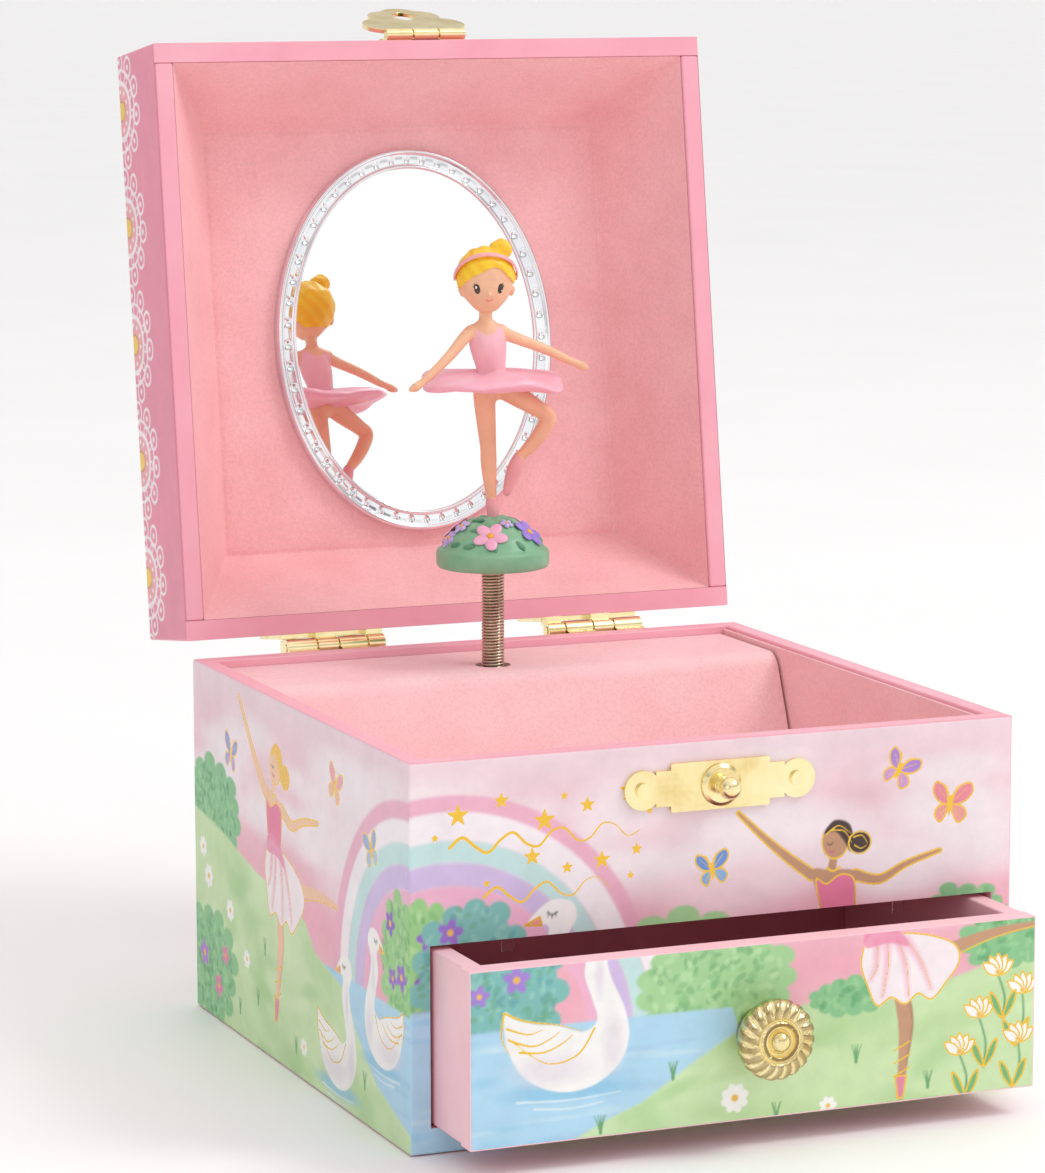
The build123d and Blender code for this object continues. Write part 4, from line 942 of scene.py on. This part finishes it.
chrome = clouded("chrome_plating", ((90.0,), "dcdee2", "f4f5f7"), ((500.0, 4.0), 0.06, 0.16),
                 ((700.0, 4.0), 0.00003, 0.25), metallic=1.0)
silver = clouded("silvered_glass", ((14.0,), "f3f5f6", "fafbfb"), ((260.0, 3.0), 0.004, 0.02),
                 ((12.0,), 0.00001, 0.2), metallic=1.0)
finished("mirror_glass", silver)

oval_x, oval_y, mirror_y = 28.2, 36.7, 0.6
panel_z = lid_low + 18.75
around, dimples = 624, 52
dimple_at, dimple_half, dimple_deep = 2.1, 0.48, 0.42
profile = ((0.0, 0.05), (0.0, 1.5), (0.18, 2.0), (0.55, 2.3), (0.9, 2.1), (1.1, 1.72), (1.35, 1.7),
           (1.6, 1.72), (1.85, 1.74), (2.1, 1.76), (2.35, 1.76), (2.6, 1.74), (2.85, 1.72), (3.05, 1.72),
           (3.2, 1.95), (3.45, 2.15), (3.7, 2.0), (3.85, 1.6), (4.2, 1.25), (4.5, 1.1), (4.6, 0.9))
points = []
for i in range(around):
    a = 2 * pi * i / around
    beat = 2 * pi * i * dimples / around
    for inward, proud in profile:
        dent = exp(-(((inward - dimple_at) / dimple_half) ** 2)) * max(cos(beat), 0) ** 3 * dimple_deep
        x, y = (oval_x - inward) * cos(a), (oval_y - inward) * sin(a)
        points.append(on_lid(x, mirror_y + y, panel_z - proud + dent))
n = len(profile)
faces = [(i * n + k, ((i + 1) % around) * n + k, ((i + 1) % around) * n + k + 1, i * n + k + 1)
         for i in range(around) for k in range(n - 1)]
fresh("mirror_surround", points, faces, chrome, "lid", replaces=("mirror_frame",))

# ---------------------------------------------------------------- drawer
# A small board drawer. The front carries on the printed scene of the body, the sides are papered
# pink, and a cast brass-coloured knob with swirled flutes is screwed through from behind.

drawer_paper = pink_card("drawer_paper", "f8c0ca", "fbcfd6")
# Painted shade: the back and bottom of the drawer take a darker pink than its sides, standing for the shade
# inside the drawer.
drawer_shade_paper = pink_card("drawer_inside_painted_shade", "c98592", "d6939f")
for node in ("drawer_left_side", "drawer_right_side", "drawer_front"):
    rounded(node, 0.4, drawer_paper)
for node in ("drawer_back", "drawer_bottom"):
    rounded(node, 0.3, drawer_shade_paper)
drawer_low, drawer_high = corners("drawer_front")
paper_sheet("drawer_front_paper", "drawer", front, lambda u, v, out: (u, drawer_low.y - out, v),
            (drawer_low.x, drawer_high.x), (drawer_low.z, drawer_high.z), turn_in=0.4)

knob_low, knob_high = corners("drawer_knob")
knob_z = (knob_low.z + knob_high.z) / 2
knob_foot = knob_high.y
swirls, flute_deep = 19, 0.6
turning = ((0.0, 0.0), (4.3, 0.0), (4.3, 0.7), (3.6, 1.2), (2.95, 1.8), (2.85, 2.6), (3.3, 3.2), (4.9, 3.7),
           (6.1, 4.3), (6.6, 5.0), (6.78, 5.8), (6.7, 6.6), (6.35, 7.25), (5.7, 7.8), (4.9, 8.05),
           (4.2, 8.0), (3.75, 7.7), (3.6, 7.45), (3.4, 7.55), (3.2, 8.0), (2.9, 8.15), (2.6, 7.9),
           (2.45, 7.35), (2.2, 7.2), (1.95, 7.45), (1.75, 7.95), (1.3, 8.6), (0.7, 9.05), (0.0, 9.2))
points, knob_around = [], 228
for radius, proud in turning:
    fluted = exp(-(((radius - 5.6) / 1.35) ** 2)) * (1.0 if proud > 3.6 else 0.25)
    for i in range(knob_around):
        a = 2 * pi * i / knob_around
        swirl = a * swirls + (radius - 3.6) * 1.5 + (7.0 - proud) * 0.55 * (1 if radius > 5.5 else 0)
        wave = abs(sin(swirl / 2)) ** 0.6
        cut = flute_deep * fluted * (1 - wave)
        r = radius - cut
        points.append((r * cos(a), knob_foot - proud + cut, knob_z + r * sin(a)))
faces = bands_inside_out(len(turning), knob_around)
fresh("fluted_knob", points, faces, brass, "drawer", replaces=("drawer_knob",))
screw_steel = clouded("screw_steel", ((300.0,), "9da0a4", "c3c6ca"), ((900.0,), 0.2, 0.4),
                      ((1200.0,), 0.00003, 0.3), metallic=1.0)
finished("knob_screw movement_screws", screw_steel)

# ---------------------------------------------------------------- ballerina's spring
# A close-wound coil of thin steel wire. It stands in the movement cover, is crimped to the turning
# arbor below and bends over when the lid pushes the ballerina down.

wire_steel = clouded("spring_wire", ((260.0, 5.0), "b09880", "dccab4"), ((800.0,), 0.2, 0.38),
                     ((900.0,), 0.00003, 0.3), metallic=1.0)
spring_low, spring_high = corners("ballerina_spring")
axis_x, axis_y = (spring_low.x + spring_high.x) / 2, (spring_low.y + spring_high.y) / 2
fold = Vector(joints["figure_fold"]["pos_m"]) / MM
wire_r, coil_r, pitch, per_turn, sides = 0.25, 1.88, 0.58, 20, 7
turns = (spring_high.z - spring_low.z - 2 * wire_r) / pitch
steps = int(turns * per_turn)
points = []
for i in range(steps + 1):
    a = 2 * pi * i / per_turn
    z = spring_low.z + wire_r + pitch * i / per_turn
    for k in range(sides):
        b = 2 * pi * k / sides
        r = coil_r + wire_r * cos(b)
        points.append((axis_x + r * cos(a), axis_y + r * sin(a), z + wire_r * sin(b)))
faces = bands(steps + 1, sides)
faces += [tuple(range(sides))[::-1], tuple(steps * sides + k for k in range(sides))]
coil = fresh("spring_coil", points, faces, wire_steel, None,
             replaces=("ballerina_spring",))
bend_half = 2.5
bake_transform(coil, "root", "folding_spring", start=(axis_x * MM, axis_y * MM, (fold.z - bend_half) * MM),
         end=(axis_x * MM, axis_y * MM, (fold.z + bend_half) * MM))

# ---------------------------------------------------------------- flower base
# A moulded soft-vinyl disc with a low mound of leaves and blossoms, each picked out by hand in
# pink, lilac and dark green paint. The ballerina's foot is pegged into its top.

toward = Vector((-sin(heading), -cos(heading), 0))
sideways = Vector((cos(heading), -sin(heading), 0))


def vinyl(name, deep, pale, rough=0.42, glow=0.12):
    """Soft moulded vinyl, matt painted: faint clouding and a little light under the skin."""
    return clouded(name, ((240.0, 4.0), deep, pale), ((900.0,), rough - 0.06, rough + 0.08),
                   ((700.0, 4.0), 0.00005, 0.3), subsurface_weight=glow, subsurface_scale=0.002,
                   coat_weight=0.15, coat_roughness=0.3)


green = vinyl("green_vinyl", "73ac84", "88bc96")
leaf_green = vinyl("leaf_paint", "3f7d5c", "5a9a74")
base_low, base_high = corners("flower_base")
disc_r = (base_high.x - base_low.x) / 2
disc_top = base_low.z + 3.6
dome_r = 10.8
mound_top = base_high.z


def mound_height(r, a):
    """The height of the mound's skin at a distance and a bearing from the middle."""
    swell = disc_top - 5.0 + sqrt(max(dome_r ** 2 - r * r, 0)) if r < 9.5 else disc_top
    lumps = 0.28 * sin(5 * a + 0.7 * r) * sin(1.3 * r) + 0.16 * sin(9 * a - 1.1 * r)
    return max(disc_top, swell) + lumps * min(r / 3, 1) * max(0, min(1, (9.2 - r) / 1.5))


profile = [(0.0, 0.0), (disc_r - 0.9, 0.0), (disc_r - 0.3, 0.2), (disc_r, 0.8), (disc_r, 2.8),
           (disc_r - 0.25, 3.4)]
points, base_around = [], 120
for r, z in profile:
    for i in range(base_around):
        a = 2 * pi * i / base_around
        points.append((axis_x + r * cos(a), axis_y + r * sin(a), base_low.z + z))
mound_rings = 27
for k in range(mound_rings):
    r = (disc_r - 0.75) * (1 - k / (mound_rings - 1))
    for i in range(base_around):
        a = 2 * pi * i / base_around
        points.append((axis_x + r * cos(a), axis_y + r * sin(a), mound_height(r, a)))
faces = bands(len(profile) + mound_rings, base_around)
fresh("flower_disc", points, faces, green, "ballerina", replaces=("flower_base",))


def on_mound(right, front_share, r):
    """A frame on the mound's skin: its place and the direction that it faces."""
    flat = sideways * sin(right) + toward * cos(right)
    a = atan2(flat.y, flat.x)
    place_at = Vector((axis_x, axis_y, 0)) + flat * r
    place_at.z = mound_height(r, a) + front_share
    leans = r / dome_r
    return place_at, (flat * leans + Vector((0, 0, sqrt(max(1 - leans ** 2, 0.05))))).normalized()


def raised_oval(points, faces, place_at, out, along, long, wide, high):
    """A small domed oval, as of a petal or a leaf, laid on a surface."""
    across = out.cross(along).normalized()
    along = across.cross(out).normalized()
    first = len(points)
    rows, cols = 5, 16
    for k in range(rows):
        share = k / (rows - 1)
        for i in range(cols):
            b = 2 * pi * i / cols
            spread = cos(share * pi / 2) if k else 1.0
            points.append(tuple(place_at + along * long * spread * cos(b) + across * wide * spread * sin(b)
                                + out * high * (sin(share * pi / 2) - 0.35)))
    faces += bands(rows, cols, first)
    faces.append(tuple(first + (rows - 1) * cols + i for i in range(cols)))


blossoms = {"pink": [(-0.05, 7.3, 3.2), (-1.9, 7.2, 2.8), (2.1, 7.2, 2.9)],
            "purple": [(1.2, 7.2, 3.2), (2.9, 6.8, 2.8)],
            "lilac": [(-1.28, 8.3, 2.0), (-1.1, 6.3, 1.7), (-2.6, 7.2, 2.6), (0.55, 4.9, 1.3)]}
petal_paint = {"pink": vinyl("pink_petal_paint", "efa7c6", "f5bcd4"),
               "purple": vinyl("purple_petal_paint", "8a72d0", "a48ae2"),
               "lilac": vinyl("lilac_petal_paint", "b9a2dc", "cdbbe8")}
heart_paint = vinyl("blossom_heart_paint", "f0aa1e", "f7bb3a")
hearts, heart_faces = [], []
for kind, group in blossoms.items():
    points, faces = [], []
    for bearing, r, size in group:
        middle, out = on_mound(bearing, 0.25, r)
        first_way = out.orthogonal().normalized()
        for i in range(5):
            along = Quaternion(out, 2 * pi * i / 5 + r) @ first_way
            raised_oval(points, faces, middle + along * size * 0.55, out, along, size * 0.48, size * 0.36,
                        0.42)
        raised_oval(hearts, heart_faces, middle + out * 0.18, out, first_way, size * 0.2, size * 0.2, 0.4)
    fresh(kind + "_blossoms", points, faces, petal_paint[kind], "ballerina")
fresh("blossom_hearts", hearts, heart_faces, heart_paint, "ballerina")
points, faces = [], []
for i, (bearing, r) in enumerate(((-0.87, 9.0), (-0.5, 9.1), (0.02, 9.2), (0.62, 9.1), (-1.6, 9.0),
                                  (1.75, 9.1), (2.5, 9.1), (3.3, 9.0), (4.1, 9.1), (-0.5, 6.2), (0.9, 4.5),
                                  (2.4, 4.4), (4.4, 4.8), (-0.9, 3.4))):
    spot, out = on_mound(bearing, 0.1, min(r, 8.9))
    along = Quaternion(out, 1.2 + 0.9 * sin(3.1 * i)) @ out.orthogonal().normalized()
    raised_oval(points, faces, spot, out, along, 1.25, 0.62, 0.4)
fresh("mound_leaves", points, faces, leaf_green, "ballerina")

# ---------------------------------------------------------------- ballerina
# One soft-vinyl moulding: a slim dancer on one toe, the other foot drawn up to her knee and her
# arms held low. Dress, shoes and hair are painted on it; her faint smile and eyes are printed.

hip_z = mound_top + 24.7
shoulder_z = hip_z + 10.4
head_z = disc_top + 55.2 - 5.55
lean = -1.2
glance = heading - radians(8)
face_way = Vector((-sin(glance), -cos(glance), 0))
face_side = Vector((cos(glance), -sin(glance), 0))
ball = bmesh.new()
bmesh.ops.create_icosphere(ball, subdivisions=2, radius=1.0)
ball_points = np.array([v.co[:] for v in ball.verts])
ball_faces = np.array([[v.index for v in f.verts] for f in ball.faces])
ball.free()
lumps, lump_faces, centres, labels = [], [], [], []


def mould(label, *marks, depth=1.0, high=1.0, packed=0.28):
    """A limb built up from many small balls; each mark is (x, y, z, radius) from the figure's axis."""
    way = flowing(marks, False, 10) if len(marks) > 1 else list(marks)
    last_at = None
    for x, y, z, r in way:
        if last_at is not None and (Vector((x, y, z)) - last_at).length < packed * min(r, 1.2):
            continue
        last_at = Vector((x, y, z))
        local = ball_points * r
        ahead = local @ np.array(face_way)
        local = local + np.outer(ahead * (depth - 1), np.array(face_way))
        local[:, 2] *= high
        lump_faces.append(ball_faces + sum(len(l) for l in lumps))
        lumps.append(local + np.array((axis_x + x, axis_y + y, z)))
        centres.append((axis_x + x, axis_y + y, z, r))
        labels.append(label)


def of_face(side, ahead, up):
    """A place by the head: to the viewer's right, forward and up from its middle."""
    spot = Vector((lean, 0, head_z)) + face_side * side + face_way * ahead
    return (spot.x, spot.y, head_z + up)


h, s, m = hip_z, shoulder_z, mound_top
mould("leg", (-1.5, 0, h - 0.5, 2.25), (-1.5, 0, h - 3.5, 2.05), (-1.2, -0.1, h - 8, 1.8),
      (-0.9, -0.2, h - 12, 1.55), (-0.75, 0, h - 14.5, 1.55), (-0.5, 0.1, h - 18, 1.3),
      (-0.2, 0, m + 3.4, 1.02))
mould("shoe", (-0.2, 0, m + 3.2, 1.05), (-0.05, -0.15, m + 1.8, 1.2), (0, -0.1, m + 0.4, 1.0),
      (0, 0, m - 0.8, 0.95))
mould("leg", (1.3, -0.4, h - 0.6, 2.25), (4.6, -1.7, h - 2.8, 2.0), (7.8, -2.8, h - 4.9, 1.65),
      (9.7, -3.3, h - 6.5, 1.55), (8.7, -3.0, h - 8.9, 1.5), (6.9, -2.5, h - 11.4, 1.35),
      (4.5, -1.8, h - 13.9, 0.95))
mould("shoe", (4.5, -1.8, h - 13.9, 1.05), (3.9, -1.6, h - 15.4, 1.3), (3.1, -1.4, h - 17.6, 1.15),
      (2.3, -1.2, h - 20.4, 0.7))
mould("torso", (-0.3, 0, h - 1.2, 2.6), (-0.2, 0, h + 0.8, 2.75), (-0.25, 0, h + 2.8, 2.65),
      (-0.6, 0, h + 5.2, 3.1), (-0.95, -0.15, h + 7.2, 3.35), (-1.15, 0, h + 8.8, 2.95),
      (-1.2, 0, s - 0.6, 2.0), depth=0.78)
mould("torso", (lean - 2.5, 0.1, s - 1.3, 1.35), (lean, 0.15, s - 0.3, 1.6),
      (lean + 2.5, 0.1, s - 1.3, 1.35))
mould("skin", (lean, 0.1, s - 0.4, 1.6), (lean - 0.05, 0, s + 1.2, 1.28), (lean - 0.05, -0.1, s + 3.4, 1.3))
for side in (-1, 1):
    rise = side * 1.3
    mould("skin", (lean + side * 2.9, 0, s - 1.1, 1.35), (lean + side * 4.4, -0.6, s - 2.0, 1.2),
          (side * 9.2, -2.0, s - 4.8 + 0.3 * rise, 1.02), (side * 13.6, -3.0, s - 7.6 + 0.8 * rise, 0.82),
          (side * 15.2, -3.2, s - 8.5 + rise, 0.72))
    mould("skin", (side * 15.2, -3.2, s - 8.5 + rise, 0.72), (side * 16.3, -3.4, s - 9.1 + rise, 0.85),
          (side * 17.4, -3.5, s - 9.5 + rise, 0.42))
    mould("skin", (side * 15.9, -3.5, s - 8.7 + rise, 0.45), (side * 16.6, -3.9, s - 8.5 + rise, 0.36))
mould("head", of_face(0, -0.2, 0.1) + (5.4,), depth=0.97)
mould("head", of_face(0, 0.35, -1.4) + (4.75,), of_face(0, 0.9, -3.0) + (3.6,),
      of_face(0, 1.5, -4.2) + (2.2,),
      of_face(0, 1.7, -4.9) + (1.35,))
mould("head", of_face(0, 5.0, -2.9) + (0.42,))
for side in (-1, 1):
    out = 4.85 if side > 0 else 4.3
    mould("ear", of_face(side * out, -0.7, -2.4) + (0.75,),
          of_face(side * (out - 0.1), -0.7, -3.2) + (0.5,))
bun_at = Vector((lean, 0, head_z + 4.9)) + sideways * 2.7 - toward * 1.2
mould("bun", (bun_at.x, bun_at.y, bun_at.z, 2.0), high=0.82)
mould("bun", (bun_at.x + 0.3, bun_at.y + 0.1, bun_at.z + 0.9, 1.25), high=0.7)
raw = bpy.data.meshes.new("figure_lumps")
raw.from_pydata((np.vstack(lumps) * MM).tolist(), [], np.vstack(lump_faces).tolist())
blank = bpy.data.objects.new("figure_lumps", raw)
shelf.objects.link(blank)
joining = blank.modifiers.new("joining", "REMESH")
joining.mode, joining.use_smooth_shade = "VOXEL", True
joining.voxel_size = 0.2 * MM
easing = blank.modifiers.new("easing", "SMOOTH")
easing.factor, easing.iterations = 0.5, 12
bpy.context.view_layer.update()
body = bpy.data.meshes.new_from_object(blank.evaluated_get(bpy.context.evaluated_depsgraph_get()))
bpy.data.objects.remove(blank)
skin_at = np.empty(len(body.vertices) * 3)
body.vertices.foreach_get("co", skin_at)
skin_at = skin_at.reshape(-1, 3) / MM
outward = np.empty(len(body.vertices) * 3)
body.vertex_normals.foreach_get("vector", outward)
outward = outward.reshape(-1, 3)
centres = np.array(centres)
nearest = np.empty(len(skin_at), int)
for first in range(0, len(skin_at), 4000):
    block = skin_at[first:first + 4000]
    gaps = np.linalg.norm(block[:, None, :] - centres[None, :, :3], axis=2) - centres[None, :, 3]
    nearest[first:first + 4000] = gaps.argmin(1)
kinds = np.array(labels)[nearest]
from_head = skin_at - np.array((axis_x + lean, axis_y, head_z))
right_of = from_head @ np.array(face_side)
ahead_of = from_head @ np.array(face_way)
above = from_head[:, 2]
on_head = (kinds == "head") | (kinds == "ear")
fringe = 1.75 - 3.1 * (np.abs(right_of - 0.5) / 4.7) ** 2 + 0.25 * np.sin(1.1 * right_of)
front_hair = (above > fringe) & (ahead_of > -1.4)
back_hair = (ahead_of < -0.9 + 0.25 * above) & (above > -4.3)
hair = (on_head & (kinds != "ear") & (front_hair | back_hair)) | (kinds == "bun")
neckline = shoulder_z - 1.5 + 0.42 * (np.abs(right_of) / 1.25) ** 2
dress = (kinds == "torso") & (skin_at[:, 2] < neckline) & (skin_at[:, 2] > hip_z)
shoe = kinds == "shoe"
strand = np.sin(2.6 * right_of + 1.9 * above + 1.4 * np.sin(0.7 * ahead_of + 0.5 * right_of))
rise = np.where(hair, 0.26 + 0.05 * strand, 0.0) + np.where(dress, 0.13, 0.0) + np.where(shoe, 0.1, 0.0)
skin_at += outward * rise[:, None]
body.vertices.foreach_set("co", (skin_at * MM).ravel())
tint = np.tile(np.array(rgb("f6c19c")), (len(skin_at), 1))
blush = np.zeros(len(skin_at))
for side in (-1, 1):
    cheek = np.array(of_face(side * 3.3, 3.9, -3.3)) + np.array((axis_x, axis_y, 0))
    blush = np.maximum(blush, np.exp(-(np.linalg.norm(skin_at - cheek, axis=1) / 1.1) ** 2) * 0.55)
# The cheeks are blushed with paint; the legs are tinted a quarter of the way to the same warm colour as
# painted shade under the tutu.
blush_and_leg_shade = np.clip(blush + 0.25 * (kinds == "leg"), 0, 0.7)[:, None]
tint = tint * (1 - blush_and_leg_shade) + np.array(rgb("f0a083")) * blush_and_leg_shade
strand_share = (0.5 + 0.5 * strand)[:, None]
gold_hair = np.array(rgb("fdc41a")) * strand_share + np.array(rgb("ffd428")) * (1 - strand_share)
for where, colour in ((hair, gold_hair), (dress, np.array(rgb("fbc0ca"))),
                      (shoe, np.array(rgb("f1a6aa")))):
    tint = np.where(where[:, None], colour, tint)
tints = body.attributes.new("tint", "FLOAT_COLOR", "POINT")
tints.data.foreach_set("color", tint.astype(np.float32).ravel())
body.polygons.foreach_set("use_smooth", [True] * len(body.polygons))
painted, tree, shader = recipe("painted_vinyl", subsurface_weight=0.15, subsurface_scale=0.002,
                               coat_weight=0.12, coat_roughness=0.35)
tint_in = add(tree, "Attribute", attribute_name="tint").outputs["Color"]
clouds = shades(tree, grain(tree, 260.0), (0.3, "f4f1f0"), (0.7, "ffffff"))
wire(tree, shader, base_color=mixed(tree, 1.0, tint_in, clouds, "MULTIPLY"),
     roughness=between(tree, grain(tree, 900.0), 0.36, 0.5))
relief(tree, shader, grain(tree, 900.0, 4.0), 0.00004, 0.3)
body.materials.clear()
body.materials.append(painted)
figure = bpy.data.objects.new("ballerina_moulding", body)
shelf.objects.link(figure)
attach(figure, "ballerina")
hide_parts("ballerina_figure")

bpy.context.view_layer.update()
head_middle = Vector((axis_x + lean, axis_y, head_z))


def on_face(side, up):
    """The skin of the head at a bearing to the viewer's right and a height, and its outward way."""
    way = face_side * sin(side) * cos(up) + face_way * cos(side) * cos(up) + Vector((0, 0, sin(up)))
    way.normalize()
    start = (head_middle + way * 12) * MM
    hit, spot, normal, _ = figure.ray_cast(start, -way)
    return (spot / MM if hit else head_middle + way * 5.4), (normal if hit else way)


eye_brown = vinyl("eye_paint", "2e1a14", "4a2c20", 0.25, 0.0)
eye_white = vinyl("eye_glint_paint", "f6f4f2", "ffffff", 0.25, 0.0)
lip_paint = vinyl("lip_paint", "e8776c", "ee8a7c", 0.4, 0.0)
darks, dark_faces, lights, light_faces = [], [], [], []
eye_out, eye_up = 26.5, -21
tall = Vector((0, 0, 1))
for side in (-1, 1):
    spot, out = on_face(side * radians(eye_out), radians(eye_up))
    raised_oval(darks, dark_faces, spot + out * 0.04, out, tall, 0.92, 0.62, 0.12)
    raised_oval(lights, light_faces, spot + out * 0.1 + Vector((0, 0, 0.3)) - face_side * 0.14, out, tall,
                0.26, 0.2, 0.1)
    raised_oval(lights, light_faces, spot + out * 0.1 - Vector((0, 0, 0.36)) + face_side * 0.18, out,
                tall, 0.13, 0.11, 0.1)
    for k, (out_by, up_by) in enumerate(((0.75, 0.62), (0.9, 0.3), (0.55, 0.92))):
        lash, lash_out = on_face(side * radians(eye_out + 8.2 * out_by), radians(eye_up + 9.5 * up_by))
        along = (face_side * side * 0.8 + Vector((0, 0, 0.6))).normalized()
        raised_oval(darks, dark_faces, lash + lash_out * 0.02, lash_out, along, 0.34, 0.09, 0.08)
fresh("eyes", darks, dark_faces, eye_brown, "ballerina")
fresh("eye_glints", lights, light_faces, eye_white, "ballerina")
points, faces = [], []
for k in range(9):
    share = (k - 4) / 4
    spot, out = on_face(radians(1.5 + 8.0 * share), radians(-43 + 2.2 * share * share))
    raised_oval(points, faces, spot + out * 0.02, out, face_side, 0.2, 0.13 - 0.05 * abs(share), 0.09)
fresh("smile", points, faces, lip_paint, "ballerina")

band_pink = vinyl("headband_paint", "f3a5a8", "f8b6b6")
points, faces = [], []
band_steps, band_sides, band_tilt = 60, 10, radians(43)
for i in range(band_steps + 1):
    phi = radians(-98 + 196 * i / band_steps)
    way = face_side * sin(phi) + (tall * cos(band_tilt) + face_way * sin(band_tilt)) * cos(phi)
    flat_way = face_way * cos(band_tilt) - tall * sin(band_tilt)
    middle = head_middle + Vector((0, 0, 0.2)) + way * 5.72
    for k in range(band_sides):
        b = 2 * pi * k / band_sides
        points.append(tuple(middle + flat_way * 0.46 * cos(b) + way * 0.2 * sin(b)))
faces = bands_inside_out(band_steps + 1, band_sides)
fresh("headband", points, faces, band_pink, "ballerina")

# ---------------------------------------------------------------- tutu
# A separate soft-vinyl skirt pushed up over the legs before the figure is glued to its base:
# a thick wavy disc, thinning to its rim, with shallow pleats.

tutu_pink = vinyl("tutu_vinyl", "f5afc1", "f9bdcd", 0.38, 0.2)
tutu_r, tutu_around, tutu_rings = 13.0, 160, 20
points = []
for under in (False, True):
    for k in range(tutu_rings + 1):
        share = k / tutu_rings
        r = 1.2 + (tutu_r - 1.2) * share
        for i in range(tutu_around):
            a = 2 * pi * i / tutu_around
            sway = share ** 2 * (0.7 * sin(3 * a + 0.6) + 0.45 * sin(5 * a + 2.0))
            pleat = 0.05 * share * sin(16 * a)
            full = 2.5 * sqrt(max(1 - share ** 2.2, 0)) * (0.8 + 0.2 * sin(3 * a))
            thick = full * (1 - 0.2 * under) + 0.12
            z = hip_z + 0.35 + sway - 0.5 * share + (-thick * 0.85 if under else thick * 0.8) + pleat
            rr = r * (1 + 0.018 * share * sin(8 * a + 1.0))
            points.append((axis_x + rr * cos(a), axis_y + rr * sin(a), z))
rows = tutu_rings + 1
faces = []
for under in (0, 1):
    for k in range(tutu_rings):
        for i in range(tutu_around):
            first = (under * rows + k) * tutu_around
            quad = (first + i, first + tutu_around + i, first + tutu_around + (i + 1) % tutu_around,
                    first + (i + 1) % tutu_around)
            faces.append(quad[::-1] if under else quad)
edge_top, edge_low = tutu_rings * tutu_around, (rows + tutu_rings) * tutu_around
faces += [(edge_top + i, edge_low + i, edge_low + (i + 1) % tutu_around, edge_top + (i + 1) % tutu_around)
          for i in range(tutu_around)]
fresh("tutu_skirt", points, faces, tutu_pink, "ballerina", replaces=("tutu",))

# ---------------------------------------------------------------- musical movement
# A spring-driven movement on a cast bedplate behind the cover: brass barrel, wheels and pinned
# cylinder, a hardened steel comb, a moulded fly and a nickel-plated key outside the back.

casting = clouded("movement_casting", ((350.0, 6.0), "85878b", "abaeb2"), ((700.0,), 0.38, 0.6),
                  ((600.0, 6.0), 0.00012, 0.5), metallic=1.0)
for node in ("bedplate", "cylinder_bridge", "governor_frame", "comb_pillar"):
    rounded(node, 0.2, casting)
bright = clouded("bright_steel", ((300.0, 4.0), "b9bcc0", "d9dbde"), ((800.0,), 0.14, 0.3),
                 ((1400.0,), 0.00002, 0.3), metallic=1.0)
finished("spindle key_arbor cylinder_pinion governor_pinion comb", bright)
blued = clouded("blued_steel", ((260.0, 5.0), "3b4a66", "55678a"), ((800.0,), 0.2, 0.36),
                ((900.0,), 0.00003, 0.3), metallic=1.0)
finished("mainspring", blued)
wheel_brass = clouded("movement_brass", ((300.0, 5.0), "b88f4a", "d8b26a"), ((700.0,), 0.2, 0.38),
                      ((1100.0,), 0.00004, 0.3), metallic=1.0)
finished("spring_barrel crown_wheel music_cylinder cylinder_gear worm_wheel governor_worm", wheel_brass)
nylon = clouded("white_nylon", ((500.0,), "e4e2da", "f1efe8"), ((900.0,), 0.35, 0.5),
                ((1200.0,), 0.00003, 0.3), subsurface_weight=0.2, subsurface_scale=0.001)
finished("governor_fly", nylon)
nickel = clouded("nickel_plate", ((220.0, 5.0), "c2bfb6", "dedcd4"), ((600.0,), 0.14, 0.3),
                 ((800.0,), 0.00003, 0.3), metallic=1.0)
rounded("winding_key", 0.25, nickel, 3)
